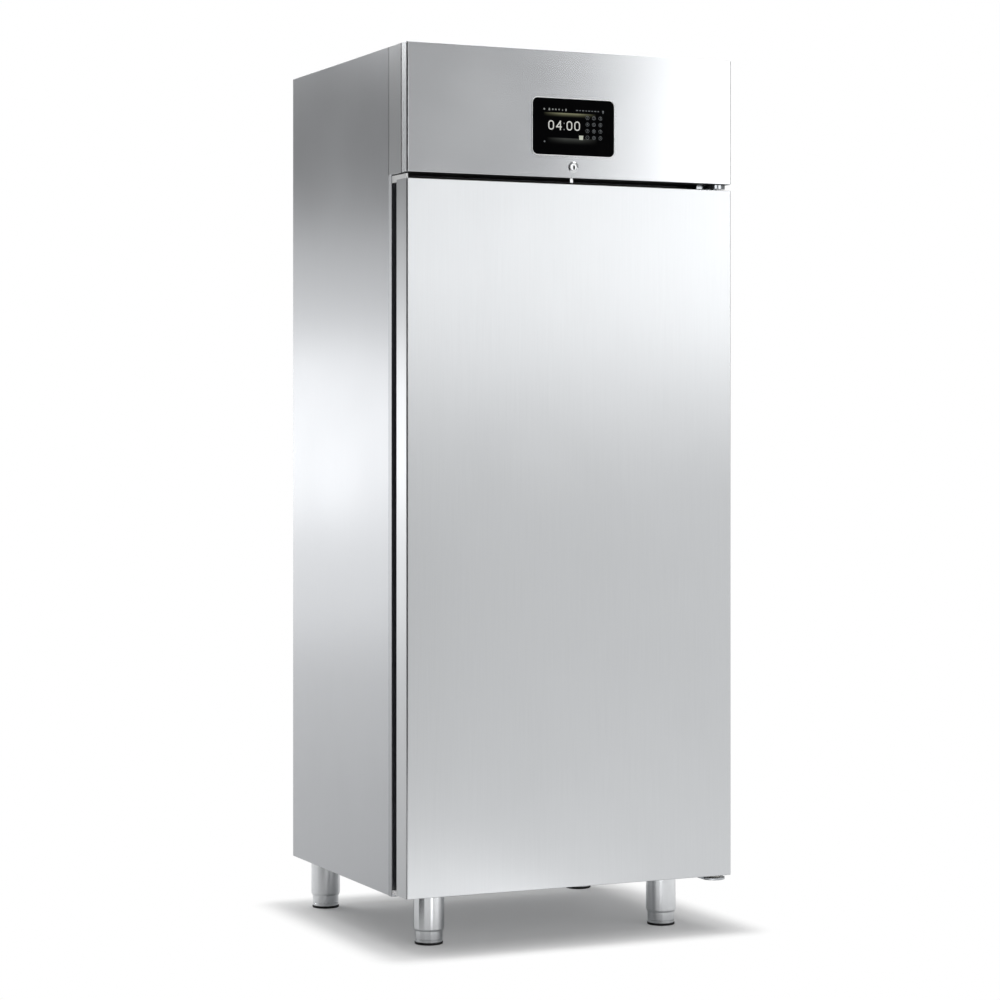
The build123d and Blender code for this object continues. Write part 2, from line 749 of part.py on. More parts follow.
def lock_cylinder():
    """The turning core of the lock with its keyway."""
    with BuildPart() as cylinder:
        with BuildSketch(wall_plane(FRONT - FRONT_PROUD + 0.3)):
            with Locations((0, LOCK_Z)):
                Circle(LOCK_CYLINDER_RADIUS)
        extrude(amount=-24)
        with BuildSketch(wall_plane(FRONT - FRONT_PROUD)):
            with Locations((0.5, LOCK_Z)):
                Rectangle(2.6, 9.5)
        extrude(amount=-8, mode=Mode.SUBTRACT)
    save(cylinder, "lock_cylinder")


def lock_bolt():
    """The flat bolt whose tip shows below the header."""
    with BuildPart() as bolt:
        block(
            -BOLT_WIDTH / 2, BOLT_WIDTH / 2, BOLT_Y - BOLT_THICK / 2, BOLT_Y + BOLT_THICK / 2,
            BOLT_TIP, BOLT_TIP + BOLT_LENGTH,
        )
        chamfer(bolt.edges().filter_by(Axis.X).group_by(Axis.Z)[0], 0.8)
    save(bolt, "lock_bolt")


# Tray racks


def rack_uprights():
    """Two channel posts on each side wall of the cavity, open towards the wall."""
    z0 = CAVITY_BOTTOM + COVE_RADIUS
    z1 = CAVITY_TOP - COVE_RADIUS
    with BuildPart() as posts:
        for side in (-1, 1):
            x0, x1 = sorted((side * RUNNER_FACE, side * CAVITY_HALF))
            hollow0, hollow1 = sorted((side * (RUNNER_FACE + POST_SHEET), side * CAVITY_HALF))
            for y in (RUNNER_FRONT + 20, RUNNER_FRONT + RUNNER_LENGTH - 50):
                block(x0, x1, y, y + POST_WIDTH, z0, z1)
                block(
                    hollow0, hollow1, y + POST_SHEET, y + POST_WIDTH - POST_SHEET, z0, z1,
                    mode=Mode.SUBTRACT,
                )
    save(posts, "rack_uprights")


def tray_runners():
    """The pairs of angle runners, lip on top and flange hanging down."""
    back = RUNNER_FRONT + RUNNER_LENGTH
    with BuildPart() as runners:
        for side in (-1, 1):
            lip0, lip1 = sorted((side * RUNNER_FACE, side * (RUNNER_FACE - RUNNER_LIP)))
            flange0, flange1 = sorted((side * RUNNER_FACE, side * (RUNNER_FACE - RUNNER_SHEET)))
            for level in range(TRAY_LEVELS):
                z = FIRST_RUNNER_Z + level * TRAY_PITCH
                block(lip0, lip1, RUNNER_FRONT, back, z - RUNNER_SHEET, z)
                block(flange0, flange1, RUNNER_FRONT, back, z - RUNNER_DROP, z)
    save(runners, "tray_runners")


# Cold-air side of the cavity


def air_duct_panel():
    """The slotted pan in front of the coil, with the fan's opening near its top."""
    with BuildPart() as duct:
        block(-DUCT_HALF, DUCT_HALF, DUCT_FRONT, CAVITY_BACK, DUCT_BOTTOM, DUCT_TOP)
        offset(amount=-SHEET, openings=duct.faces().sort_by(Axis.Y)[-1])
        with BuildSketch(wall_plane(DUCT_FRONT)):
            with Locations((0, EVAPORATOR_FAN_Z)):
                Circle(EVAPORATOR_FAN_RADIUS + 6)
            for column in (-1, 1):
                with Locations((column * DUCT_SLOT_X, (CAVITY_BOTTOM + CAVITY_TOP) / 2)):
                    with GridLocations(1, TRAY_PITCH, 1, TRAY_LEVELS - 1):
                        SlotOverall(*DUCT_SLOT)
        extrude(amount=-SHEET, mode=Mode.SUBTRACT)
    save(duct, "air_duct_panel")


def finned_coil(name, centre, size, tube_rows):
    """A heat exchanger: a fin pack between two end plates, with return bends outside them."""
    x, y, z = centre
    length, thick, height = size
    pitch = height / tube_rows
    with BuildPart() as coil:
        block(x - length / 2, x + length / 2, y - thick / 2, y + thick / 2, z - height / 2, z + height / 2)
        for side in (-1, 1):
            x0, x1 = sorted((x + side * length / 2, x + side * (length / 2 + COIL_PLATE)))
            block(x0, x1, y - thick / 2 - 3, y + thick / 2 + 3, z - height / 2 - 4, z + height / 2 + 4)
        for row in range(tube_rows - 1):
            side = 1 if row % 2 else -1
            middle = z - height / 2 + pitch * (row + 1)
            outside = x + side * (length / 2 + COIL_PLATE)
            bend_plane = Plane(origin=(outside, y, middle), x_dir=(side, 0, 0), z_dir=(0, side, 0))
            with BuildLine(bend_plane) as bend:
                ThreePointArc((0, -pitch / 2), (pitch / 2, 0), (0, pitch / 2))
            with BuildSketch(Plane(origin=bend.line @ 0, z_dir=bend.line % 0)):
                Circle(BEND_RADIUS)
            sweep(path=bend.line)
    save(coil, name)


def evaporator_fan_guard():
    """The wire guard over the fan's opening."""
    y = DUCT_FRONT - 3
    with BuildPart() as guard:
        for radius in (24, 46, 68, 90):
            with Locations(Plane(origin=(0, y, EVAPORATOR_FAN_Z), z_dir=(0, 1, 0))):
                Torus(radius, 1.6)
        for angle in (0, 90):
            with Locations(Plane(origin=(0, y, EVAPORATOR_FAN_Z), z_dir=(0, 1, 0))):
                Box(200, 5, 2, rotation=(0, 0, angle + 45))
        with Locations(Plane(origin=(0, y, EVAPORATOR_FAN_Z), z_dir=(0, 1, 0))):
            with PolarLocations(97, 4, 45):
                Cylinder(5, 3, align=(Align.CENTER, Align.CENTER, Align.MIN))
    save(guard, "evaporator_fan_guard")


def interior_lamp():
    """The upright light bar on the left wall, behind the door surround."""
    with BuildPart() as lamp:
        block(-CAVITY_HALF, -CAVITY_HALF + 10, SURROUND_BACK + 3, SURROUND_BACK + 17, 300, 1500)
        fillet(lamp.edges().filter_by(Axis.Z).group_by(Axis.X)[-1], 4)
    save(lamp, "interior_lamp")


# Fans


def fan(name, centre, tip_radius):
    """Blades on a hub that turns about a shaft along Y."""
    blade_length = tip_radius - HUB_RADIUS + 5
    with BuildPart(Plane(origin=centre, x_dir=(1, 0, 0), z_dir=(0, 1, 0))) as rotor:
        Cylinder(HUB_RADIUS, HUB_LENGTH)
        with PolarLocations(tip_radius - blade_length / 2, BLADES):
            Box(blade_length, BLADE_WIDTH, BLADE_THICK, rotation=(BLADE_PITCH, 0, 0))
        Cylinder(SHAFT_RADIUS + RUNNING_GAP, HUB_LENGTH + 40, mode=Mode.SUBTRACT)
    save(rotor, name)


def fan_motor(name, centre, gap, body_length, bracket_half, bracket_y):
    """A motor behind a fan: shaft, can and a flat bar that carries it."""
    x, y, z = centre
    front_of_shaft = y - HUB_LENGTH / 2 + 3
    can_front = y + HUB_LENGTH / 2 + gap
    with BuildPart() as motor:
        with BuildSketch(wall_plane(front_of_shaft)):
            with Locations((x, z)):
                Circle(SHAFT_RADIUS)
        extrude(amount=-(can_front - front_of_shaft))
        with BuildSketch(wall_plane(can_front)):
            with Locations((x, z)):
                Circle(MOTOR_RADIUS)
        extrude(amount=-body_length)
        block(x - bracket_half, x + bracket_half, bracket_y - 3, bracket_y, z - 12, z + 12)
        if bracket_y - 3 > can_front + body_length:
            block(x - 10, x + 10, can_front + body_length, bracket_y, z - 10, z + 10)
    save(motor, name)


# Machine compartment


def condenser_fan_shroud():
    """The square plate and collar behind the condenser, with two arms for the motor's bar."""
    x, y, z = CONDENSER_X, SHROUD_Y, CONDENSER_Z
    bore = CONDENSER_FAN_RADIUS + 4
    plate = SHROUD_PLATE_HALF
    half = SHROUD_HALF
    with BuildPart() as shroud:
        block(x - plate, x + plate, y, y + SHEET, z - half, z + half)
        block(x - half, x + half, y, y + SHROUD_COLLAR, z - half, z + half)
        with BuildSketch(wall_plane(y)):
            with Locations((x, z)):
                Circle(bore)
        extrude(amount=-SHROUD_COLLAR, mode=Mode.SUBTRACT)
        for side in (-1, 1):
            arm0, arm1 = sorted((x + side * bore, x + side * (bore + 10)))
            block(arm0, arm1, y + SHROUD_COLLAR, y + SHROUD_ARM, z - 12, z + 12)
            foot0, foot1 = sorted((x + side * plate, x + side * (plate - 22)))
            block(foot0, foot1, y, y + 20, DECK_Z, z - half)
    save(shroud, "condenser_fan_shroud")


def compressor():
    """The welded steel pot on its foot plate, with a terminal box and two stubs."""
    x, y = COMPRESSOR
    plate_width, plate_depth, plate_thick = COMPRESSOR_PLATE
    stub = STUB_WIDTH / 2
    wall = COMPRESSOR_RADIUS - 6
    with BuildPart() as pot:
        with BuildSketch(Plane.XY.offset(DECK_Z + MOUNT_HEIGHT)):
            with Locations((x, y)):
                RectangleRounded(plate_width, plate_depth, 20)
        extrude(amount=plate_thick)
        with BuildSketch(Plane.XY.offset(DECK_Z + MOUNT_HEIGHT + plate_thick)):
            with Locations((x, y)):
                Circle(COMPRESSOR_RADIUS)
        extrude(amount=COMPRESSOR_HEIGHT)
        fillet(pot.edges().filter_by(GeomType.CIRCLE).group_by(Axis.Z)[-1], COMPRESSOR_DOME)
        block(x + wall, x + 100, y - 30, y + 30, DECK_Z + 60, DECK_Z + 130)
        block(x - STUB_REACH, x - wall, y - stub, y + stub, SUCTION_Z - stub, SUCTION_Z + stub)
        block(x - stub, x + stub, y - STUB_REACH, y - wall, DISCHARGE_Z - stub, DISCHARGE_Z + stub)
    save(pot, "compressor")


def compressor_mounts():
    """The four rubber grommets between the compressor and the deck."""
    with BuildPart() as mounts:
        with BuildSketch(Plane.XY.offset(DECK_Z)):
            with Locations(COMPRESSOR):
                with GridLocations(*MOUNT_SPACING, 2, 2):
                    Circle(MOUNT_RADIUS)
        extrude(amount=MOUNT_HEIGHT)
    save(mounts, "compressor_mounts")


def filter_drier():
    """The copper cartridge in the liquid line."""
    with BuildPart(Plane(origin=DRIER, z_dir=(1, 0, 0))) as drier:
        Cylinder(DRIER_RADIUS, DRIER_LENGTH)
        fillet(drier.edges().filter_by(GeomType.CIRCLE), 8)
        Cylinder(PIPE_RADIUS + 2, 2 * DRIER_REACH)
    save(drier, "filter_drier")


def pipe(points, radius):
    """One tube along straight runs joined by arcs."""
    with BuildLine() as path:
        FilletPolyline(*points, radius=radius)
    with BuildSketch(Plane(origin=path.line @ 0, z_dir=path.line % 0)) as section:
        Circle(PIPE_RADIUS)
    return sweep(section.sketch, path=path.line, mode=Mode.PRIVATE)


def refrigerant_pipes():
    """The discharge, liquid and suction lines."""
    x, y = COMPRESSOR
    coil_end = CONDENSER_X + CONDENSER_SIZE[0] / 2 + COIL_PLATE
    first_tube = (CONDENSER_SIZE[2] - CONDENSER_SIZE[2] / CONDENSER_ROWS) / 2
    inlet_z = CONDENSER_Z + first_tube
    outlet_z = CONDENSER_Z - first_tube
    drier_x, drier_y, drier_z = DRIER
    into_drier = drier_x - DRIER_REACH
    out_of_drier = drier_x + DRIER_REACH
    turn_x = coil_end + 48
    riser_y = y - 150
    with BuildPart() as pipes:
        add(pipe([
            (x, y - STUB_REACH, DISCHARGE_Z), (x, riser_y, DISCHARGE_Z), (x, riser_y, inlet_z),
            (turn_x, riser_y, inlet_z), (turn_x, CONDENSER_Y, inlet_z), (coil_end, CONDENSER_Y, inlet_z),
        ], 18))
        add(pipe([
            (coil_end, CONDENSER_Y, outlet_z), (turn_x, CONDENSER_Y, outlet_z),
            (turn_x, drier_y - 60, outlet_z), (into_drier - 35, drier_y - 60, outlet_z),
            (into_drier - 35, drier_y, drier_z), (into_drier, drier_y, drier_z),
        ], 12))
        add(pipe([
            (out_of_drier, drier_y, drier_z), (out_of_drier + 30, drier_y, drier_z),
            (out_of_drier + 30, drier_y + 30, drier_z), (out_of_drier + 30, drier_y + 30, DECK_Z),
        ], 14))
        add(pipe([
            (x - STUB_REACH, y, SUCTION_Z), (x - 150, y, SUCTION_Z), (x - 150, y, DECK_Z),
        ], 18))
    save(pipes, "refrigerant_pipes")


def electrical_box():
    """The closed box that holds the relays and the mains terminals."""
    width, depth, height = ELECTRICAL_BOX
    x0 = GLAND_X - width / 2
    x1 = GLAND_X + width / 2
    y1 = BACK - GLAND_REACH
    y0 = y1 - depth
    lid = DECK_Z + LID_Z
    with BuildPart() as box:
        block(x0, x1, y0, y1, DECK_Z, DECK_Z + height)
        fillet(box.edges().filter_by(Axis.Z), 5)
        block(
            x0 - LID_PROUD, x1 + LID_PROUD, y0 - LID_PROUD, y1 + LID_PROUD,
            lid, lid + LID_THICK,
        )
        with BuildSketch(wall_plane(y1)):
            with Locations((GLAND_X, GLAND_Z)):
                Circle(KNOCKOUT_RADIUS)
        extrude(amount=KNOCKOUT_DEPTH, mode=Mode.SUBTRACT)
    save(box, "electrical_box")


def cable_gland():
    """The round inlet in the back panel for the mains lead."""
    length = GLAND_REACH + REAR_PROUD
    with BuildPart() as gland:
        with BuildSketch(wall_plane(BACK - GLAND_REACH)):
            with Locations((GLAND_X, GLAND_Z)):
                Circle(GLAND_BODY)
        extrude(amount=-length)
        with BuildSketch(wall_plane(BACK)):
            with Locations((GLAND_X, GLAND_Z)):
                RegularPolygon(GLAND_NUT, 6)
        extrude(amount=-GLAND_NUT_THICK)
        with BuildSketch(wall_plane(BACK - GLAND_REACH)):
            with Locations((GLAND_X, GLAND_Z)):
                Circle(GLAND_BORE)
        extrude(amount=-length, mode=Mode.SUBTRACT)
    save(gland, "cable_gland")


side_panel("left_side_panel", -1)
side_panel("right_side_panel", 1)
back_panel()
base_panel()
top_cover()
compartment_deck()
inner_liner()
cabinet_insulation()
door_surround()

CORNERS = ("front_left", "front_right", "rear_left", "rear_right")
for corner, place in zip(CORNERS, leg_places()):
    leg(f"{corner}_leg", *place)
    foot(f"{corner}_foot", *place)
    foot_pad(f"{corner}_foot_pad", *place)
leg_screws()

door_skin()
strike_cup()
door_insulation()
door_inner_panel()
door_gasket()
grip_channel()
grip_end_caps()
door_hinge_bushes()
upper_hinge_bracket()
lower_hinge_bracket()
hinge_pins()

header_frame()
fascia_hinge_pins()
header_panel()
display_bezel()
display_glass()
controller_housing()
lock_housing()
lock_cylinder()
lock_bolt()

rack_uprights()
tray_runners()

air_duct_panel()
finned_coil("evaporator_coil", (0, DUCT_FRONT + 55, EVAPORATOR_Z), EVAPORATOR_SIZE, EVAPORATOR_ROWS)
evaporator_fan_guard()
evaporator_fan_place = (0, DUCT_FRONT + 24, EVAPORATOR_FAN_Z)
fan("evaporator_fan", evaporator_fan_place, EVAPORATOR_FAN_RADIUS)
fan_motor("evaporator_fan_motor", evaporator_fan_place, 2, 42, 90, CAVITY_BACK)
interior_lamp()

finned_coil("condenser_coil", (CONDENSER_X, CONDENSER_Y, CONDENSER_Z), CONDENSER_SIZE, CONDENSER_ROWS)
condenser_fan_shroud()
condenser_fan_place = (CONDENSER_X, CONDENSER_FAN_Y, CONDENSER_Z)
fan("condenser_fan", condenser_fan_place, CONDENSER_FAN_RADIUS)
fan_motor("condenser_fan_motor", condenser_fan_place, 8, 44, 104, SHROUD_Y + SHROUD_ARM + 3)
compressor()
compressor_mounts()
filter_drier()
refrigerant_pipes()
electrical_box()
cable_gland()
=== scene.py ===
import json
import math

import bmesh
import bpy
from mathutils import Matrix, Vector


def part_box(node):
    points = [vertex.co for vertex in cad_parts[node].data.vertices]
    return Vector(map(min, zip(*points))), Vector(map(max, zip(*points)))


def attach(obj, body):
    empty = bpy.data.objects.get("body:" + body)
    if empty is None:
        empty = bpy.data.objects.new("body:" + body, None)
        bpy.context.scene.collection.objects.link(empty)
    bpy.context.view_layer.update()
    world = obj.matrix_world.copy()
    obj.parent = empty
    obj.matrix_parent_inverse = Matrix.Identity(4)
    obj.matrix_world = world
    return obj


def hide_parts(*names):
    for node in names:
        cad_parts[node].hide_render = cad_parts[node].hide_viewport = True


# An upright bakery refrigerator of satin stainless steel. Metres, on the floor at z = 0, with
# the door facing -Y. The finishes and the finer shapes are made here around the fixed frame.

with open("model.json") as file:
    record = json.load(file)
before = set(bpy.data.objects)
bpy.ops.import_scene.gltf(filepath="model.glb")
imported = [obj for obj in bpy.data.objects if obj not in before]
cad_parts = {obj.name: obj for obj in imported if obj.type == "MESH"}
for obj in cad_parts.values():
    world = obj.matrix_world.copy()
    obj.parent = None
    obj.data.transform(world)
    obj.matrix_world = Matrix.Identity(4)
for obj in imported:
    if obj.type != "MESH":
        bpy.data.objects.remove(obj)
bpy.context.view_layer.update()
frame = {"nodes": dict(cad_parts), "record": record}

MM = 0.001
BODY_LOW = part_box("door_surround")[0]
DOOR_LOW, DOOR_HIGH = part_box("door_skin")
HEADER_LOW, HEADER_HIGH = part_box("header_panel")
GLASS_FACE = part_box("display_glass")[0].y
FRONT = DOOR_LOW.y
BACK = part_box("back_panel")[1].y
TOP = HEADER_HIGH.z
HALF = DOOR_HIGH.x
BASE = BODY_LOW.z
CORNERS = ("front_left", "front_right", "rear_left", "rear_right")

# Camera, in the photograph's frame of 1000 by 1000 pixels
FRAME_PIXELS = 1000
FOCAL_PIXELS = 2733
HORIZON_PIXEL = 426.7
SENSOR_WIDTH = 36
CAMERA_PLACE = Vector((-2.616, FRONT - 5.392, 1.133))
CAMERA_AIM = Vector((0.4122, 0.9111, 0))

# Folded sheet: an edge that turns by more than the fold angle is folded
FOLD_RADIUS = 1.3 * MM
FOLD_STEPS = 3
FOLD_ANGLE = math.radians(60)
SHARP_ANGLE = math.radians(32)
FLAT_ANGLE = math.radians(0.4)

# Caps of the grip: their heights, the lip over the door and the flaps behind it
CAP_BELOW = 8 * MM
CAP_ABOVE = 5 * MM
CAP_LIP = 10 * MM
LIP_WIDTH = 4 * MM
FLAP_WIDTH = 14 * MM
CAP_SETBACK = 3 * MM

# Tray racks
TRAY_LEVELS = 16
RUNNER_LIP = 25 * MM
RUNNER_DROP = 20 * MM
RUNNER_SHEET = 1.5 * MM
RUNNER_PITCH = 85 * MM
POST_WIDTH = 30 * MM
POST_SHEET = 2 * MM
POST_SLOT = (5 * MM, 11 * MM)

# Lock: the rim's front edge as a share of its back edge, and the corners (x, z) of the painted
# shade over the keyway
LOCK_SLOPE = 0.77
RIM_BORE = 11 * MM
KEYWAY = ((-0.6 * MM, -5.8 * MM), (3.2 * MM, 2.6 * MM))
# Thickness of the black sheets of painted shade in the gap round the door
GAP_SHADE_SHEET = 0.45 * MM

# Legs and feet
LEG_RADIUS = 33.7 * MM
LEG_BORE = 30.35 * MM
LEG_PLATE = 4 * MM
LEG_CORNER = 8 * MM
FOOT_WALL = 3 * MM
FOOT_FLOOR = 8 * MM
PAD_RADIUS = 31.2 * MM

# Display: how far its marks and figures stand proud
MARK = 0.12 * MM
FIGURE_DEPTH = 0.06 * MM

# Display, in millimetres: the rows of the clock and the signs, and the first key with its pitch
CLOCK_ROW = 1792
SIGN_ROW = 1826.4
FIRST_KEY = (33.9, 1811.2)
KEY_PITCH = (15.8, 14.4)

# Lamp and guard
LAMP_CAP = 18 * MM
GUARD_RINGS = 6
GUARD_REACH = 97 * MM
GUARD_WIRE = 1.3 * MM

# Fans and cooling, with the hub's nose and edge in millimetres from its rim
BLADES = 5
BLADE_TIP = 89 * MM
BLADE_HALF = 0.9 * MM
BLADE_STEPS = 8
SHAFT_RADIUS = 4.05 * MM
COMPRESSOR_AXIS = (190 * MM, 200 * MM)
FOOT_PLATE = 4 * MM
POT_RADIUS = 76 * MM
POT_SEAM = 96 * MM
POT_DOME = 44 * MM
COIL_PLATE = 2 * MM
COIL_TUBE = 4.5 * MM
FIN_PITCH = 3.2 * MM
FIN_THICK = 0.4 * MM
HUB_RADIUS = 24 * MM
HUB_LENGTH = 24 * MM
HUB_NOSE = ((-5, 0), (-1.6, 1.2), (0, 4.5))
HUB_EDGE = ((0, -1), (-1, 0))

# Screws: the back sheet's row at the compartment's deck, and margins from the edges
DECK_ROW = 1.69
BACK_MARGIN = 12 * MM
COVER_MARGIN = 14 * MM

# Studio, in metres: the black screen's radius and height, and the reach of the black floor card
SCREEN_RADIUS = 2.3
SCREEN_HEIGHT = 2.7
CARD_REACH = 2.0
FLOOR_HALF = 60


# Colours, nodes and materials


def srgb(code):
    """A hex colour as the linear values that a shader takes."""
    channels = [int(code[i:i + 2], 16) / 255 for i in (0, 2, 4)]
    linear = [c / 12.92 if c <= 0.04045 else ((c + 0.055) / 1.055) ** 2.4 for c in channels]
    return (*linear, 1)


def add_node(tree, kind, settings=None, values=None, links=None):
    """Add a node with its settings, the values of its inputs and the sockets linked to them."""
    node = tree.nodes.new(kind)
    for name, value in (settings or {}).items():
        setattr(node, name, value)
    for name, value in (values or {}).items():
        node.inputs[name].default_value = value
    for name, socket in (links or {}).items():
        tree.links.new(socket, node.inputs[name])
    return node


def new_material(name, colour, metallic, roughness, **more):
    """A material with its shader, whose plain values sit on the shader's own sockets."""
    material = bpy.data.materials.new(name)
    material.use_nodes = True
    tree = material.node_tree
    tree.nodes.clear()
    values = {"Base Color": srgb(colour), "Metallic": metallic, "Roughness": roughness, **more}
    shader = add_node(tree, "ShaderNodeBsdfPrincipled", values=values)
    add_node(tree, "ShaderNodeOutputMaterial", links={"Surface": shader.outputs["BSDF"]})
    place = add_node(tree, "ShaderNodeTexCoord").outputs["Object"]
    return material, tree, shader, place


def stretched_noise(tree, place, grain, detail=3):
    """Noise whose grains have the given size along X, Y and Z."""
    scale = tuple(1 / size for size in grain)
    mapped = add_node(tree, "ShaderNodeMapping", values={"Scale": scale}, links={"Vector": place})
    noise = add_node(
        tree, "ShaderNodeTexNoise", values={"Scale": 1, "Detail": detail, "Roughness": 0.55},
        links={"Vector": mapped.outputs["Vector"]},
    )
    return noise.outputs["Fac"]


def spread(tree, socket, low, high, source=(0.3, 0.7)):
    """Spread a pattern's usual range over the values from low to high."""
    ranged = add_node(
        tree, "ShaderNodeMapRange",
        values={"From Min": source[0], "From Max": source[1], "To Min": low, "To Max": high},
        links={"Value": socket},
    )
    return ranged.outputs["Result"]


def colour_by(tree, factor, dark, light):
    """A colour between two hex colours, by a pattern's factor."""
    ramp = add_node(tree, "ShaderNodeValToRGB", links={"Fac": factor})
    ramp.color_ramp.elements[0].color = srgb(dark)
    ramp.color_ramp.elements[1].color = srgb(light)
    return ramp.outputs["Color"]


def relief(tree, shader, pattern, depth):
    """Raise the surface by a pattern, to a depth in metres."""
    bump = add_node(
        tree, "ShaderNodeBump", values={"Strength": 1, "Distance": depth}, links={"Height": pattern}
    )
    tree.links.new(bump.outputs["Normal"], shader.inputs["Normal"])


def mottle(tree, shader, fine, broad, colours, roughness, source):
    """Let two patterns shift the colour between two hex colours and the roughness a little."""
    both = add_node(
        tree, "ShaderNodeMath", settings={"operation": "ADD"}, links={0: fine, 1: broad}
    ).outputs["Value"]
    tree.links.new(colour_by(tree, both, *colours), shader.inputs["Base Color"])
    tree.links.new(spread(tree, both, *roughness, source), shader.inputs["Roughness"])


def brushed_steel(
    name, dark, light, roughness, grain, turned=0.0, anisotropic=0.75, depth=0.004
):
    """Metal with parallel sanding or turning marks. The relief's depth is in millimetres."""
    material, tree, shader, place = new_material(
        name, light, 1, roughness, **{"Anisotropic": anisotropic, "Anisotropic Rotation": turned}
    )
    marks = stretched_noise(tree, place, grain, 4)
    clouds = stretched_noise(tree, place, (0.35, 0.35, 0.35), 2)
    mottle(
        tree, shader, spread(tree, marks, 0.2, 0.5), spread(tree, clouds, 0.0, 0.5),
        (dark, light), (roughness - 0.03, roughness + 0.03), (0.2, 1.0),
    )
    relief(tree, shader, marks, depth * MM)
    return material


def grained(name, dark, light, metallic, roughness, grain, depth, clouds=60, **more):
    """A moulded, cast or coated finish. The grain, its depth and the clouds are in millimetres."""
    material, tree, shader, place = new_material(name, light, metallic, roughness, **more)
    fine = stretched_noise(tree, place, [size * MM for size in grain])
    broad = stretched_noise(tree, place, [clouds * MM] * 3)
    mottle(
        tree, shader, spread(tree, fine, 0.0, 0.45), spread(tree, broad, 0.0, 0.55),
        (dark, light), (roughness - 0.05, roughness + 0.05), (0, 1),
    )
    relief(tree, shader, fine, depth * MM)
    return material


def celled(name, dark, light, metallic, roughness, cell, depth):
    """A finish of small cells, each with its own tone. Sizes are in millimetres."""
    material, tree, shader, place = new_material(name, light, metallic, roughness)
    cells = add_node(
        tree, "ShaderNodeTexVoronoi", settings={"feature": "F1"}, values={"Scale": 1 / (cell * MM)},
        links={"Vector": place},
    )
    tone = add_node(
        tree, "ShaderNodeSeparateColor", links={"Color": cells.outputs["Color"]}
    ).outputs["Red"]
    tree.links.new(colour_by(tree, tone, dark, light), shader.inputs["Base Color"])
    rough = spread(tree, tone, roughness - 0.08, roughness + 0.08, (0, 1))
    tree.links.new(rough, shader.inputs["Roughness"])
    relief(tree, shader, cells.outputs["Distance"], depth * MM)
    return material


def lit_mark(name, colour, strength):
    """A lit mark of a display: the light is a little uneven, as behind a printed mask."""
    material, tree, shader, place = new_material(
        name, "0C0D0E", 0, 0.3, **{"Emission Color": srgb(colour)}
    )
    uneven = stretched_noise(tree, place, (6 * MM, 6 * MM, 6 * MM), 2)
    glow = spread(tree, uneven, strength * 0.85, strength)
    tree.links.new(glow, shader.inputs["Emission Strength"])
    return material


def lit_band(name, colour, strength, middle, half, low, high):
    """Light behind a display's mask, which fades downwards and to both ends. Sizes in metres."""
    material, tree, shader, place = new_material(
        name, "040405", 0, 0.08, **{"IOR": 1.12, "Emission Color": srgb(colour)}
    )
    split = add_node(tree, "ShaderNodeSeparateXYZ", links={"Vector": place}).outputs
    away = add_node(
        tree, "ShaderNodeMath", {"operation": "SUBTRACT"}, {1: middle}, {0: split["X"]}
    ).outputs["Value"]
    away = add_node(
        tree, "ShaderNodeMath", {"operation": "ABSOLUTE"}, links={0: away}
    ).outputs["Value"]
    ends = spread(tree, away, strength, 0, (half * 0.3, half))
    down = spread(tree, split["Z"], 0, 1, (low, high))
    faded = add_node(
        tree, "ShaderNodeMath", {"operation": "POWER"}, {1: 2}, {0: down}
    ).outputs["Value"]
    glow = add_node(
        tree, "ShaderNodeMath", {"operation": "MULTIPLY"}, links={0: faded, 1: ends}
    ).outputs["Value"]
    tree.links.new(glow, shader.inputs["Emission Strength"])
    return material


# AISI 304 sheet, sanded upright: the reflections smear sideways into broad soft bands. The belt's
# marks of about 0.1 mm are drawn 1.1 mm wide, so that they show
DOOR_STEEL = brushed_steel(
    "satin_stainless_upright", "C6C8CA", "D2D4D6", 0.33, (1.1 * MM, 1.1 * MM, 0.14)
)
# The same sheet cut with its grain lying: the header smears its reflections up and down
HEADER_STEEL = brushed_steel(
    "satin_stainless_lying", "C7C9CC", "CFD1D3", 0.24, (0.14, 1.1 * MM, 1.1 * MM), turned=0.25,
    anisotropic=0.45, depth=0.002,
)
# The frame round the opening, of the same grain, coloured a darker grey: painted shade for the gap
# behind the door
FRAME_STEEL_PAINTED_SHADE = brushed_steel(
    "satin_stainless_frame_painted_shade", "96989B", "A2A4A7", 0.3, (0.14, 1.1 * MM, 1.1 * MM), turned=0.25,
    anisotropic=0.6,
)
# The cabinet's side sheet, sanded upright and coloured a shade darker than the door: painted shade,
# as the side is seen at a flat angle
SIDE_STEEL_PAINTED_SHADE = brushed_steel(
    "satin_stainless_side_painted_shade", "BBBDC0", "C8CACD", 0.33, (1.1 * MM, 1.1 * MM, 0.14)
)
# Bright-rolled lining sheet: smooth, with the slow waves of thin sheet on foam
LINER_STEEL = grained(
    "bright_rolled_stainless", "BDBFC1", "CBCDCF", 1, 0.24, (45, 45, 60), 0.03, 220
)
# Turned stainless tube: upright streaks of light, with fine rings that are drawn 1.6 mm wide
LEG_STEEL = brushed_steel(
    "turned_stainless_tube", "D6D8DA", "ECEEF0", 0.22, (0.5, 0.5, 1.6 * MM), turned=0.25,
    anisotropic=0.9, depth=0.02,
)
# Milled and bright-zinced plate: short cutter marks under hard light and dark reflections
BRACKET_STEEL = brushed_steel(
    "milled_bracket_steel", "96999D", "B6B9BC", 0.2, (8 * MM, 0.7 * MM, 8 * MM), anisotropic=0.3
)
# Hot-dip galvanised sheet: flat crystals of the zinc, each with its own tone
GALVANISED = celled("galvanised_sheet", "A9ADB0", "BEC2C5", 0.85, 0.42, 9, 0.004)
# Rim of the display coloured near white round the black glass: painted highlight of its edge, with
# hairline polishing marks
RIM_PAINTED_HIGHLIGHT = grained("rim_painted_highlight", "F4F5F6", "FBFCFC", 0.1, 0.3, (0.6, 0.6, 6), 0.001, 30)
# The steel caps that close the grip's ends, coloured near white and slightly glossy: painted
# highlight where light catches them
CAP_PAINTED_HIGHLIGHT = grained("cap_painted_highlight", "F4F5F5", "F9FAFA", 0, 0.35, (1.5, 1.5, 1.5), 0.01)
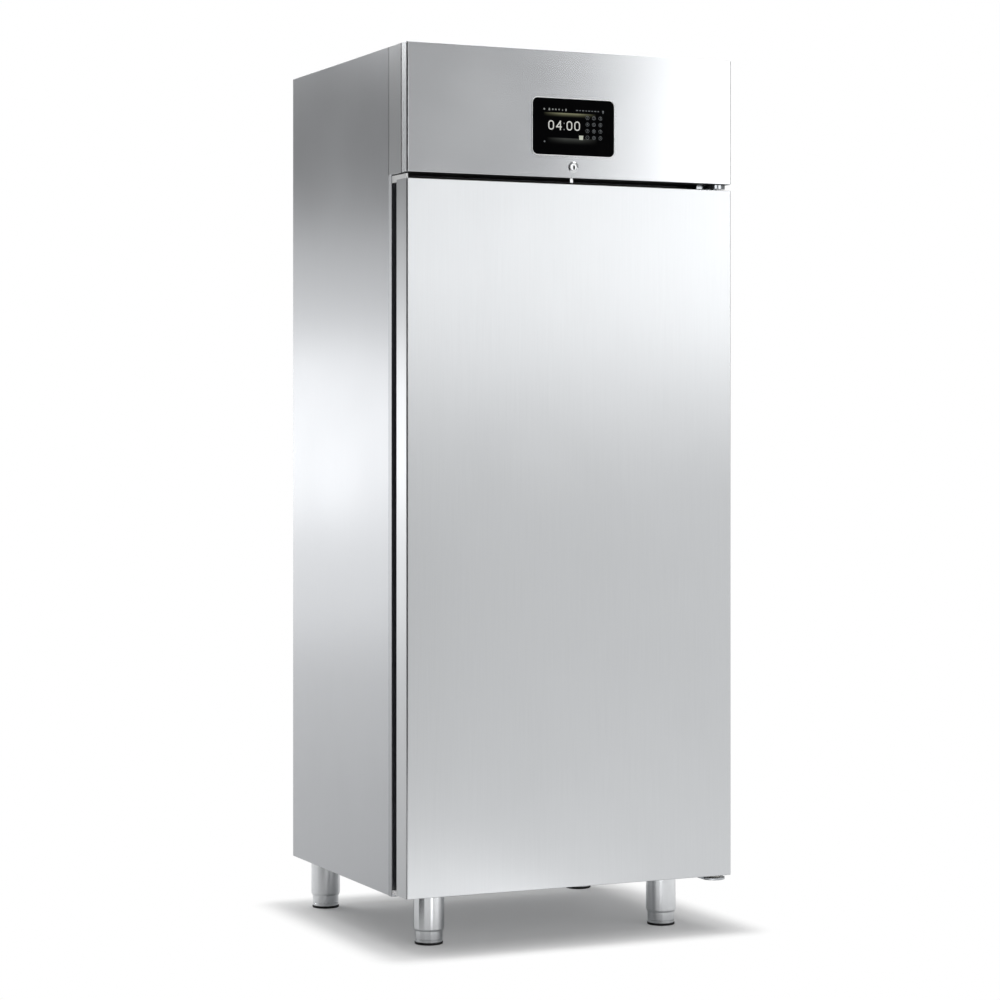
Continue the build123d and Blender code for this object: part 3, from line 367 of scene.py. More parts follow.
# Chrome plate on the lock: a mirror with faint polishing swirls
LOCK_CHROME = grained("chromed_lock", "C6C8CB", "DEDFE1", 1, 0.12, (2, 2, 2), 0.001, 12)
# Satin nickel plate on the lock's core and its bolt: whiter and softer than the chrome round them
LOCK_NICKEL = grained("satin_nickel", "F0F1F2", "F8F9F9", 1, 0.36, (2, 2, 2), 0.001, 12)
# Painted shade over the keyway: a near-black finish, because hardly any light gets in there
KEYWAY_PAINTED_SHADE = grained("keyway_painted_shade", "050505", "080808", 0, 0.9, (1, 1, 1), 0.01, 12, IOR=1.12)
# Zinc-plated screws: pale, slightly blue
SCREW_ZINC = grained("zinc_plated_screw", "A6AAB0", "C2C5C9", 1, 0.3, (0.8, 0.8, 0.8), 0.004, 5)
# Touch glass printed black behind and coated against glare, so hardly anything shows in it
DISPLAY_GLASS = grained(
    "coated_black_glass", "030304", "050506", 0, 0.08, (3, 3, 3), 0.0005, 40, IOR=1.12
)
# ABS, spark-eroded mould grain: black and softly sheened
BLACK_PLASTIC = grained("moulded_black_abs", "17181A", "212224", 0, 0.48, (0.9, 0.9, 0.9), 0.03)
# Extruded dark profile: faint die lines along its whole length
GRIP_DARK = grained("extruded_dark_profile", "86888C", "989A9F", 0.6, 0.42, (0.8, 0.8, 180), 0.012)
# Extruded PVC seal: matt grey with a dusty sheen
GREY_RUBBER = grained("extruded_grey_seal", "63656A", "74767B", 0, 0.62, (1.4, 1.4, 1.4), 0.03)
# Moulded black rubber of the pads and the grommets
BLACK_RUBBER = grained("moulded_black_rubber", "101011", "1B1B1D", 0, 0.66, (0.8, 0.8, 0.8), 0.05)
# Polyurethane foam: cream-yellow, with the cells of a cut block
FOAM = celled("cut_polyurethane_foam", "CDB98A", "E0D0A4", 0, 0.85, 1.6, 0.4)
# Stoved black enamel on the compressor: glossy with a slight orange peel
BLACK_PAINT = grained("stoved_black_enamel", "0D0E10", "16171A", 0, 0.3, (1.8, 1.8, 1.8), 0.02, 90)
# Rolled aluminium fins: pale, soft metal
COIL_FINS = grained("rolled_aluminium_fin", "B3B6BA", "CBCED1", 1, 0.34, (0.6, 4, 4), 0.004, 25)
# Drawn copper tube, slightly browned by handling
COPPER = grained("drawn_copper_tube", "A8633F", "D48B62", 1, 0.28, (2, 2, 2), 0.004, 18)
# Opal polycarbonate of the light bar
WHITE_PLASTIC = grained(
    "opal_polycarbonate", "E2E3E1", "EFF0EE", 0, 0.35, (1.2, 1.2, 1.2), 0.01, 80
)
# Black wool felt of the studio's screens
BLACK_FELT = grained("black_felt", "0B0B0C", "131314", 0, 0.95, (2, 2, 2), 0.3)
# Light grey ABS of the electrical housings
GREY_PLASTIC = grained("moulded_grey_abs", "A3A6A8", "B2B4B6", 0, 0.5, (0.9, 0.9, 0.9), 0.03)
# Acetal hinge bushes: waxy off-white
ACETAL = grained("turned_acetal", "DEDDD6", "EAE9E3", 0, 0.4, (3, 3, 0.8), 0.01)
# Display light: warm white figures, fainter signs and keys, and two soft bands
FIGURE_LIGHT = lit_mark("display_white", "CCCCC6", 1.0)
START_LIGHT = lit_mark("display_grey_green", "B9BDAE", 1.0)
SIGN_LIGHT = lit_mark("display_pale_grey", "B4B8B4", 0.45)
KEY_LIGHT = lit_mark("display_grey", "8A9094", 0.38)
OLIVE_BAND = lit_band("display_olive_band", "C8C8A0", 0.4, -9 * MM, 64 * MM, 1.8095, 1.8194)
GREY_BAND = lit_band("display_grey_band", "C4C8C0", 0.1, -3 * MM, 62 * MM, 1.749, 1.7645)

FINISHES = {
    "satin_steel": SIDE_STEEL_PAINTED_SHADE, "door_steel": DOOR_STEEL, "liner_steel": LINER_STEEL,
    "bracket_steel": BRACKET_STEEL, "leg_steel": LEG_STEEL, "bezel_metal": RIM_PAINTED_HIGHLIGHT,
    "lock_chrome": LOCK_CHROME, "display_glass": DISPLAY_GLASS, "black_plastic": BLACK_PLASTIC,
    "grip_dark": GRIP_DARK, "grey_rubber": GREY_RUBBER, "black_rubber": BLACK_RUBBER, "foam": FOAM,
    "galvanised": GALVANISED, "black_paint": BLACK_PAINT, "coil_fins": COIL_FINS, "copper": COPPER,
    "white_plastic": WHITE_PLASTIC, "grey_plastic": GREY_PLASTIC, "acetal": ACETAL,
}


# Meshes


def shade(bm):
    """Shade smooth, with creases where the faces turn sharply."""
    for face in bm.faces:
        face.smooth = True
    for edge in bm.edges:
        edge.smooth = len(edge.link_faces) != 2 or edge.calc_face_angle(0) < SHARP_ANGLE


def held_object(name, bm):
    """An object that holds a mesh, at the origin."""
    mesh = bpy.data.meshes.new(name)
    bm.to_mesh(mesh)
    bm.free()
    piece = bpy.data.objects.new(name, mesh)
    bpy.context.scene.collection.objects.link(piece)
    return piece


def settled_mesh(piece):
    """The object's mesh with its modifiers worked in."""
    graph = bpy.context.evaluated_depsgraph_get()
    return bpy.data.meshes.new_from_object(piece.evaluated_get(graph))


def taken_shape(piece):
    """The shape of an object with its modifiers worked in. The object itself goes."""
    mesh = settled_mesh(piece)
    bpy.data.objects.remove(piece)
    bm = bmesh.new()
    bm.from_mesh(mesh)
    bpy.data.meshes.remove(mesh)
    return bm


def make_piece(bm, name, slot, body, replaced=(), finish=None):
    """Make a closed piece of a mesh, finish it and let it ride on its body."""
    shade(bm)
    piece = held_object(name, bm)
    normals = piece.modifiers.new("normals", "WEIGHTED_NORMAL")
    normals.keep_sharp = True
    mesh = settled_mesh(piece)
    piece.modifiers.clear()
    piece.data = mesh
    mesh.name = name
    mesh.materials.clear()
    mesh.materials.append(finish or FINISHES[slot])
    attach(piece, body)
    if replaced:
        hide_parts(*replaced)


def merged_copy(node):
    """A copy of a CAD node's mesh with its loose triangles joined into whole faces."""
    bm = bmesh.new()
    bm.from_mesh(frame["nodes"][node].data)
    bmesh.ops.remove_doubles(bm, verts=bm.verts, dist=0.002 * MM)
    bmesh.ops.dissolve_limit(bm, angle_limit=FLAT_ANGLE, verts=bm.verts, edges=bm.edges)
    return bm


def fold_edges(bm, is_fold, radius=FOLD_RADIUS):
    """Round the outer edges whose middle passes the test, as a press brake leaves them."""
    edges = []
    for edge in bm.edges:
        middle = (edge.verts[0].co + edge.verts[1].co) / 2
        outer = len(edge.link_faces) == 2 and edge.is_convex
        if outer and edge.calc_face_angle(0) > FOLD_ANGLE and is_fold(middle):
            edges.append(edge)
    bmesh.ops.bevel(
        bm, geom=edges, offset=radius, segments=FOLD_STEPS, profile=0.5, affect="EDGES"
    )


def everywhere(point):
    """The fold test that takes every sharp outer edge."""
    return True


def add_block(bm, low, high):
    """A rectangular solid between two corners."""
    corners = bmesh.ops.create_cube(bm, size=1)["verts"]
    middle = (Vector(low) + Vector(high)) / 2
    size = Vector(high) - Vector(low)
    for corner in corners:
        corner.co = middle + Vector(c * s for c, s in zip(corner.co, size))


def add_rings(bm, rings, closed):
    """Join rings of points, each to the next, into one skin. A ring of one point is a pole."""
    made = [[bm.verts.new(point) for point in ring] for ring in rings]
    pairs = list(zip(made, made[1:] + made[:1] if closed else made[1:]))
    count = max(len(ring) for ring in made)
    for first, second in pairs:
        for k in range(count):
            corners = (
                first[k % len(first)], first[(k + 1) % len(first)],
                second[(k + 1) % len(second)], second[k % len(second)],
            )
            face = list(dict.fromkeys(corners))
            if len(face) > 2:
                bm.faces.new(face)
    if not closed:
        for ring in (made[0], made[-1]):
            if len(ring) > 2:
                bm.faces.new(ring)


def arc(radius, start, end, steps, centre=(0, 0)):
    """Points round a centre from one angle to another, in degrees, with both ends."""
    turns = [math.radians(start + (end - start) * k / steps) for k in range(steps + 1)]
    return [(centre[0] + radius * math.cos(a), centre[1] + radius * math.sin(a)) for a in turns]


def disc(radius, steps=20, centre=(0, 0)):
    """The outline of a disc."""
    return arc(radius, 0, 360, steps, centre)[:-1]


def add_turned(bm, profile, place, lie=None, segments=72):
    """Turn a profile of (radius, height) points, closed on itself, about an axis at a place."""
    lay = Matrix.Translation(place) @ (lie or Matrix())
    add_rings(bm, [
        [lay @ Vector((x, y, height)) for x, y in disc(radius, segments if radius > 0 else 1)]
        for radius, height in profile
    ], closed=True)


def add_slab(bm, outline, lay, thickness):
    """A plate with the given outline, laid by a matrix and raised along its local Z."""
    rings = [[lay @ Vector((x, y, z)) for x, y in outline] for z in (0, thickness)]
    add_rings(bm, rings, closed=False)


def add_tube(bm, points, radius, segments=20):
    """A round bar along a line of points, closed at both ends."""
    rings = []
    for k, point in enumerate(points):
        before = points[max(k - 1, 0)]
        after = points[min(k + 1, len(points) - 1)]
        turn = (after - before).to_track_quat("Z", "Y").to_matrix()
        rings.append([point + turn @ Vector((x, y, 0)) for x, y in disc(radius, segments)])
    add_rings(bm, rings, closed=False)


def rounded_outline(width, height, corner, steps=8):
    """The points of a rectangle with round corners, about its own middle."""
    points = []
    for x, y, start in ((1, 1, 0), (-1, 1, 90), (-1, -1, 180), (1, -1, 270)):
        middle = (x * (width / 2 - corner), y * (height / 2 - corner))
        points += arc(corner, start, start + 90, steps, middle)
    return points


def outward(bm):
    """Turn every face outwards, after merging what coincides."""
    bmesh.ops.remove_doubles(bm, verts=bm.verts, dist=0.001 * MM)
    bmesh.ops.recalc_face_normals(bm, faces=bm.faces)
    return bm


def make_blocks(name, slot, body, blocks, fold=0, **more):
    """A piece of rectangular solids, each between two corners, with folded edges if asked."""
    bm = bmesh.new()
    for low, high in blocks:
        add_block(bm, low, high)
    if fold:
        fold_edges(bm, everywhere, fold)
    make_piece(outward(bm), name, slot, body, **more)


def edge_points(points, radius, height):
    """Points of a turned profile, given in millimetres from an edge at a radius and a height."""
    return [(radius + out * MM, height + up * MM) for out, up in points]


def make_turned(name, slot, body, node, profile, centre, segments=96):
    """A piece turned of a profile about an upright axis, which stands for a solid."""
    bm = bmesh.new()
    add_turned(bm, profile, centre, segments=segments)
    make_piece(outward(bm), name, slot, body, [node])


# Lays for turned pieces and plates: local Z to the front or to the back
TO_FRONT = Matrix.Rotation(math.radians(90), 4, "X")
TO_BACK = Matrix.Rotation(math.radians(-90), 4, "X")


# Repeated pieces


def new_growth(name, sizes):
    """A geometry tree with named inputs for its sizes and its finish."""
    tree = bpy.data.node_groups.new(name, "GeometryNodeTree")
    sockets = {
        "Geometry": ("NodeSocketGeometry", None), **sizes, "Finish": ("NodeSocketMaterial", None),
    }
    for label, (kind, value) in sockets.items():
        socket = tree.interface.new_socket(label, in_out="INPUT", socket_type=kind)
        if value is not None:
            socket.default_value = value
    tree.interface.new_socket("Geometry", in_out="OUTPUT", socket_type="NodeSocketGeometry")
    return tree, add_node(tree, "NodeGroupInput").outputs


def end_growth(tree, entry, instances):
    """End a tree with real geometry in its finish."""
    real = add_node(tree, "GeometryNodeRealizeInstances", links={"Geometry": instances})
    painted = add_node(
        tree, "GeometryNodeSetMaterial",
        links={"Geometry": real.outputs["Geometry"], "Material": entry["Finish"]},
    )
    add_node(tree, "NodeGroupOutput", links={"Geometry": painted.outputs["Geometry"]})


def row_growth():
    """Repeats a shape along a line."""
    tree, entry = new_growth("repeat_in_row", {
        "Count": ("NodeSocketInt", 2), "Step": ("NodeSocketVector", None),
    })
    line = add_node(
        tree, "GeometryNodeMeshLine", settings={"mode": "OFFSET"},
        links={"Count": entry["Count"], "Offset": entry["Step"]},
    )
    shapes = add_node(
        tree, "GeometryNodeInstanceOnPoints",
        links={"Points": line.outputs["Mesh"], "Instance": entry["Geometry"]},
    )
    end_growth(tree, entry, shapes.outputs["Instances"])
    return tree


def round_growth():
    """Repeats a shape round an axis along Y that passes through a centre."""
    tree, entry = new_growth("repeat_round_axis", {
        "Count": ("NodeSocketInt", 5), "Centre": ("NodeSocketVector", None),
    })
    line = add_node(
        tree, "GeometryNodeMeshLine", settings={"mode": "OFFSET"},
        values={"Offset": (0, 0, 0)},
        links={"Count": entry["Count"], "Start Location": entry["Centre"]},
    )
    index = add_node(tree, "GeometryNodeInputIndex").outputs["Index"]
    share = add_node(
        tree, "ShaderNodeMath", {"operation": "DIVIDE"}, links={0: index, 1: entry["Count"]}
    ).outputs["Value"]
    angle = add_node(
        tree, "ShaderNodeMath", settings={"operation": "MULTIPLY"}, values={1: 2 * math.pi},
        links={0: share},
    ).outputs["Value"]
    turn = add_node(tree, "ShaderNodeCombineXYZ", links={"Y": angle}).outputs["Vector"]
    shapes = add_node(
        tree, "GeometryNodeInstanceOnPoints",
        links={"Points": line.outputs["Mesh"], "Instance": entry["Geometry"], "Rotation": turn},
    )
    end_growth(tree, entry, shapes.outputs["Instances"])
    return tree


def screw_growth():
    """Puts a domed screw with a hexagon socket on each point of a mesh, turned to a direction."""
    tree, entry = new_growth("screws_on_points", {
        "Head radius": ("NodeSocketFloat", 4 * MM), "Head height": ("NodeSocketFloat", 2 * MM),
        "Socket radius": ("NodeSocketFloat", 1.6 * MM), "Turn": ("NodeSocketVector", None),
    })
    dome = add_node(
        tree, "GeometryNodeMeshUVSphere", values={"Segments": 24, "Rings": 12, "Radius": 1}
    ).outputs["Mesh"]
    size = add_node(
        tree, "ShaderNodeCombineXYZ",
        links={"X": entry["Head radius"], "Y": entry["Head radius"], "Z": entry["Head height"]},
    ).outputs["Vector"]
    head = add_node(
        tree, "GeometryNodeTransform", links={"Geometry": dome, "Scale": size}
    ).outputs["Geometry"]
    hexagon = add_node(
        tree, "GeometryNodeMeshCylinder", values={"Vertices": 6, "Depth": 2.4 * MM},
        links={"Radius": entry["Socket radius"]},
    ).outputs["Mesh"]
    above = add_node(
        tree, "ShaderNodeCombineXYZ", links={"Z": entry["Head height"]}
    ).outputs["Vector"]
    cutter = add_node(
        tree, "GeometryNodeTransform", links={"Geometry": hexagon, "Translation": above}
    ).outputs["Geometry"]
    screw = add_node(
        tree, "GeometryNodeMeshBoolean", settings={"operation": "DIFFERENCE"},
        links={"Mesh 1": head, "Mesh 2": cutter},
    ).outputs["Mesh"]
    shapes = add_node(
        tree, "GeometryNodeInstanceOnPoints",
        links={"Points": entry["Geometry"], "Instance": screw, "Rotation": entry["Turn"]},
    )
    end_growth(tree, entry, shapes.outputs["Instances"])
    return tree


ROWS = row_growth()
ROUND = round_growth()
SCREWS = screw_growth()


def grown(bm, tree, sizes):
    """Run a tree on a mesh, with its inputs set by name, and return what it makes."""
    seed = held_object("seed", bm)
    growth = seed.modifiers.new("growth", "NODES")
    growth.node_group = tree
    for item in tree.interface.items_tree:
        if item.in_out == "INPUT" and item.name in sizes:
            growth[item.identifier] = sizes[item.name]
    return taken_shape(seed)


def make_screws(name, points, turn, body, radius=4 * MM, height=2 * MM):
    """Domed screws at the given points, their heads turned by Euler angles in degrees."""
    bm = bmesh.new()
    for point in points:
        bm.verts.new(point)
    heads = grown(bm, SCREWS, {
        "Head radius": radius, "Head height": height, "Socket radius": radius * 0.42,
        "Turn": tuple(math.radians(angle) for angle in turn), "Finish": SCREW_ZINC,
    })
    make_piece(heads, name, "bracket_steel", body, finish=SCREW_ZINC)


# Sheet pieces with folded edges


def make_folded(node, name, slot, body, is_fold, radius=FOLD_RADIUS, finish=None):
    """A copy of a solid with some edges rounded, which stands for it."""
    bm = merged_copy(node)
    fold_edges(bm, is_fold, radius)
    make_piece(bm, name, slot, body, [node], finish)


def make_sheet_pieces():
    """The door, the header, the side panels, the frame round the opening and the smaller plates."""
    near = 0.5 * MM
    front_edges = FRONT + 9 * MM
    header_ends = (HEADER_LOW.z + MM, HEADER_HIGH.z - MM)
    sleeve_low, sleeve_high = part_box("header_frame")
    lining_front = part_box("door_inner_panel")[0].y
    duct_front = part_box("air_duct_panel")[0].y
    make_folded(
        "door_skin", "door_outer_skin", "door_steel", "door", lambda p: p.y < front_edges
    )
    make_folded(
        "header_panel", "header_outer_skin", "door_steel", "header",
        lambda p: p.y < front_edges and not header_ends[0] < p.z < header_ends[1],
        finish=HEADER_STEEL,
    )
    for side in ("left", "right"):
        make_folded(
            f"{side}_side_panel", f"{side}_side_skin", "satin_steel", "cabinet",
            lambda p: abs(p.x) > HALF - near, 1.6 * MM,
        )
    # The frame round the opening takes the darker steel of painted shade
    make_folded(
        "door_surround", "opening_frame", "door_steel", "cabinet",
        lambda p: p.y < BODY_LOW.y + near, 0.9 * MM, FRAME_STEEL_PAINTED_SHADE,
    )
    make_folded(
        "header_frame", "header_sleeve", "door_steel", "cabinet",
        lambda p: abs(p.x) > HALF - near
        or (p.y < sleeve_low.y + near and p.z > sleeve_high.z - near),
        MM,
    )
    make_folded(
        "door_inner_panel", "door_lining", "liner_steel", "door",
        lambda p: p.y > lining_front + 2 * MM, 1.4 * MM,
    )
    make_folded(
        "air_duct_panel", "duct_cover", "liner_steel", "cabinet", lambda p: p.y < duct_front + near
    )
    for node, name, slot, body, radius in (
        ("strike_cup", "bolt_cup", "bracket_steel", "door", 0.5),
        ("upper_hinge_bracket", "upper_hinge_plate", "bracket_steel", "cabinet", 0.8),
        ("lower_hinge_bracket", "lower_hinge_plate", "bracket_steel", "cabinet", 0.8),
        ("leg_screws", "leg_hexagon_screws", "bracket_steel", "cabinet", 0.5),
        ("condenser_fan_shroud", "fan_shroud", "galvanised", "cabinet", 0.8),
        ("electrical_box", "relay_box", "grey_plastic", "cabinet", 1.0),
        ("controller_housing", "control_board_box", "grey_plastic", "header", 1.0),
        ("display_glass", "touch_glass", "display_glass", "header", 0.4),
        ("display_bezel", "display_rim", "bezel_metal", "header", 0.5),
        ("evaporator_fan_motor", "evaporator_motor", "black_plastic", "cabinet", 1.2),
        ("condenser_fan_motor", "condenser_motor", "black_plastic", "cabinet", 1.2),
        ("door_hinge_bushes", "acetal_bushes", "acetal", "door", 0.4),
    ):
        make_folded(node, name, slot, body, everywhere, radius * MM)


def make_grip_ends():
    """The grip's profile, and its caps with a lip over the door's edge and flaps behind it."""
    low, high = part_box("grip_end_caps")
    old_bottom, old_top = (corner.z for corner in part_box("grip_channel"))
    bottom, top, lip = low.z + CAP_BELOW, high.z - CAP_ABOVE, high.z + CAP_LIP
    near = 0.1 * MM
    pieces = []
    for node, radius in (("grip_channel", 0.4 * MM), ("grip_end_caps", 0.8 * MM)):
        bm = merged_copy(node)
        for vert in bm.verts:
            if abs(vert.co.z - old_bottom) < near:
                vert.co.z = bottom
            elif abs(vert.co.z - old_top) < near:
                vert.co.z = top
        fold_edges(bm, everywhere, radius)
        pieces.append(bm)
    profile, caps = pieces
    make_piece(profile, "grip_profile", "grip_dark", "door", ["grip_channel"])
    left, behind = low.x + near, BODY_LOW.y - CAP_SETBACK
    for z0, z1 in ((low.z + near, bottom - near), (top + near, lip)):
        add_block(caps, (left, high.y - MM, z0), (low.x + FLAP_WIDTH, behind, z1))
    add_block(
        caps, (left, FRONT + CAP_SETBACK, high.z + near), (low.x + LIP_WIDTH, high.y, lip)
    )
    # The caps and their lip and flaps take the near-white painted highlight
    make_piece(
        outward(caps), "grip_closing_blocks", "door_steel", "door", ["grip_end_caps"], CAP_PAINTED_HIGHLIGHT
    )


# Lock, and painted shade in its keyway and in the gap round the door


def make_lock():
    """The lock's rim with a sloped edge, its core and bolt, and a black block of painted shade over
    its keyway.
    """
    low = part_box("lock_housing")[0]
    core_low, core_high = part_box("lock_cylinder")
    centre = (core_low + core_high) / 2
    bm = merged_copy("lock_housing")
    for vert in bm.verts:
        out = Vector((vert.co.x - centre.x, 0, vert.co.z - centre.z))
        if vert.co.y < low.y + 0.1 * MM and out.length > RIM_BORE:
            vert.co.x = centre.x + out.x * LOCK_SLOPE
            vert.co.z = centre.z + out.z * LOCK_SLOPE
    fold_edges(bm, everywhere, 0.3 * MM)
    make_piece(bm, "lock_rim", "lock_chrome", "header", ["lock_housing"])
    for node, name, slot, body, radius in (
        ("lock_cylinder", "lock_core_face", "lock_chrome", "lock_core", 0.5),
        ("lock_bolt", "latch_bolt", "bracket_steel", "bolt", 0.3),
    ):
        make_folded(node, name, slot, body, everywhere, radius * MM, LOCK_NICKEL)
    face = core_low.y
    (x0, z0), (x1, z1) = KEYWAY
    # A thin black block just proud of the core's face: painted shade for the keyway
    shade_block = ((x0, face - 0.1 * MM, centre.z + z0), (x1, face + 0.05 * MM, centre.z + z1))
    make_blocks("keyway_painted_shade_block", "black_plastic", "lock_core", [shade_block], finish=KEYWAY_PAINTED_SHADE)


def make_gap_painted_shade():
    """Black sheets under the header and its sleeve and above the seal: painted shade, which stands
    in for the shade of the gap there.
    """
    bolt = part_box("lock_bolt")[1].x + 3 * MM
    end = HALF - 2 * MM
    # Black sheets of painted shade under the header
    make_blocks("header_gap_painted_shade", "black_plastic", "header", [
        ((x0, FRONT + 2 * MM, HEADER_LOW.z - GAP_SHADE_SHEET), (x1, FRONT + 26 * MM, HEADER_LOW.z))
        for x0, x1 in ((-end, -bolt), (bolt, end))
    ])
    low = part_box("header_frame")[0]
    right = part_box("upper_hinge_bracket")[0].x - MM
    above_seal = (-HALF + 36 * MM, BODY_LOW.y - GAP_SHADE_SHEET, DOOR_HIGH.z - 16 * MM)
    # Black sheets of painted shade under the sleeve and on the frame above the seal
    make_blocks("frame_gap_painted_shade", "black_plastic", "cabinet", [
        ((-HALF + 20 * MM, low.y + MM, low.z - GAP_SHADE_SHEET), (right, BODY_LOW.y - MM, low.z)),
        (above_seal, (right, BODY_LOW.y, low.z - MM)),
    ])


# Legs and feet


# Stretches of the turned profiles, in millimetres from an edge: radius and height
LEG_RIM = ((-2.3, 0), (-2, 0.2), (-0.4, 3.6), (0, 4.6))
LEG_WELD = ((0, -3), (0.8, -1.4), (2.4, -0.3), (2.6, 0.5))
FOOT_GROOVE = ((0, 10.4), (-0.5, 10.9), (-0.5, 11.7), (0, 12.2))
FOOT_EDGE = ((0, -0.6), (-0.6, 0), (-3, 0))
PAD_SOLE = ((-9, 0), (-8.2, 0.8), (-5.2, 0.8), (-4.4, 0), (-1.2, 0), (-0.35, 0.35), (0, 1.2))
PAD_EDGE = ((0, -1), (-0.3, -0.3), (-0.6, 0))


def make_legs():
    """The turned leg tubes on their plates, with the feet and ring-edged pads that they guide."""
    for corner in CORNERS:
        low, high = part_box(f"{corner}_leg")
        foot_low, foot_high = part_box(f"{corner}_foot")
        pad_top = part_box(f"{corner}_foot_pad")[1].z
        centre = (low + high) / 2
        centre.z = 0
        width = high.x - low.x
        flange = high.z - LEG_PLATE
        bm = bmesh.new()
        lay = Matrix.Translation((centre.x, centre.y, flange))
        add_slab(bm, rounded_outline(width, width, LEG_CORNER), lay, LEG_PLATE)
        add_turned(bm, [
            (LEG_BORE, low.z), *edge_points(LEG_RIM, LEG_RADIUS, low.z),
            *edge_points(LEG_WELD, LEG_RADIUS, flange), (LEG_BORE, flange + 0.5 * MM),
        ], centre, segments=96)
        make_piece(outward(bm), f"{corner}_leg_tube", "leg_steel", "cabinet", [f"{corner}_leg"])

        assembly = f"{corner}_foot_assembly"
        foot = (foot_high.x - foot_low.x) / 2
        make_turned(f"{corner}_foot_sleeve", "leg_steel", assembly, f"{corner}_foot", [
            (0, foot_low.z), (foot, foot_low.z), *edge_points(FOOT_GROOVE, foot, 0),
            *edge_points(FOOT_EDGE, foot, foot_high.z), (foot - FOOT_WALL, FOOT_FLOOR),
            (0, FOOT_FLOOR),
        ], centre)
        make_turned(f"{corner}_pad_ring", "black_rubber", assembly, f"{corner}_foot_pad", [
            (0, 0), *edge_points(PAD_SOLE, PAD_RADIUS, 0),
            *edge_points(PAD_EDGE, PAD_RADIUS, pad_top), (foot, pad_top), (foot, foot_low.z),
            (0, foot_low.z),
        ], centre)


# Door seal


def make_seal():
    """The seal's hollow profile run round the door, mitred at its corners."""
    low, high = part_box("door_gasket")
    profile = (
        (0, 0), (0.3, 2.6), (1.2, 3), (4.2, 3.2), (5.6, 4.6), (4.4, 6.2), (2, 7.4), (1.5, 8.4),
        (1.5, 11.2), (2.1, 11.7), (17.9, 11.7), (18.5, 11.2), (18.5, 8.4), (18, 7.4), (15.6, 6.2),
        (14.4, 4.6), (15.8, 3.2), (18.8, 3), (19.7, 2.6), (20, 0),
    )
    depth = (high.y - low.y) / (max(out for inset, out in profile) * MM)
    rings = []
    for inset, out in profile:
        x, bottom, top = high.x - inset * MM, low.z + inset * MM, high.z - inset * MM
        y = low.y + out * MM * depth
        corners = ((-x, bottom), (x, bottom), (x, top), (-x, top))
        rings.append([Vector((across, y, up)) for across, up in corners])
    bm = bmesh.new()
    add_rings(bm, rings, closed=True)
    make_piece(outward(bm), "door_seal", "grey_rubber", "door", ["door_gasket"])


# Display


def mark_lay(centre, proud):
    """The matrix that lays a mark on the display's glass, about a centre in millimetres."""
    return Matrix.Translation((centre[0] * MM, GLASS_FACE - proud, centre[1] * MM)) @ TO_BACK


def mark_outline(bm, points, centre, proud=MARK):
    """A thin raised mark on the glass, from its outline in millimetres about a centre."""
    add_slab(bm, [(x * MM, -z * MM) for x, z in points], mark_lay(centre, proud), proud)


def mark_hoop(bm, outer, inner, centre):
    """A thin raised ring on the glass, between two outlines of as many points."""
    lay = mark_lay(centre, MARK)
    rings = [
        [lay @ Vector((x * MM, -z * MM, up)) for x, z in outline]
        for outline, up in ((outer, 0), (outer, MARK), (inner, MARK), (inner, 0))
    ]
    add_rings(bm, rings, closed=True)


def bar_outline(start, end, width):
    """The outline of a straight bar between two points."""
    along = (Vector(end) - Vector(start)).normalized() * width / 2
    across = Vector((-along.y, along.x))
    first, last = Vector(start) - along, Vector(end) + along
    return [first - across, last - across, last + across, first + across]


def add_lettering(bm, body, size, centre):
    """Raised figures on the glass, centred on a point. The size is the em height in millimetres."""
    curve = bpy.data.curves.new("figures", "FONT")
    curve.body = body
    curve.align_x = "CENTER"
    curve.align_y = "CENTER"
    curve.size = size * MM
    curve.extrude = FIGURE_DEPTH
    text = bpy.data.objects.new("figures", curve)
    bpy.context.scene.collection.objects.link(text)
    mesh = settled_mesh(text)
    bpy.data.objects.remove(text)
    place = Matrix.Translation((centre[0] * MM, GLASS_FACE - FIGURE_DEPTH, centre[1] * MM))
    mesh.transform(place @ TO_FRONT)
    bm.from_mesh(mesh)
    bpy.data.meshes.remove(mesh)


def make_marks(bm, name, finish):
    """A piece of the lit marks in a mesh."""
    make_piece(outward(bm), name, "white_plastic", "header", finish=finish)


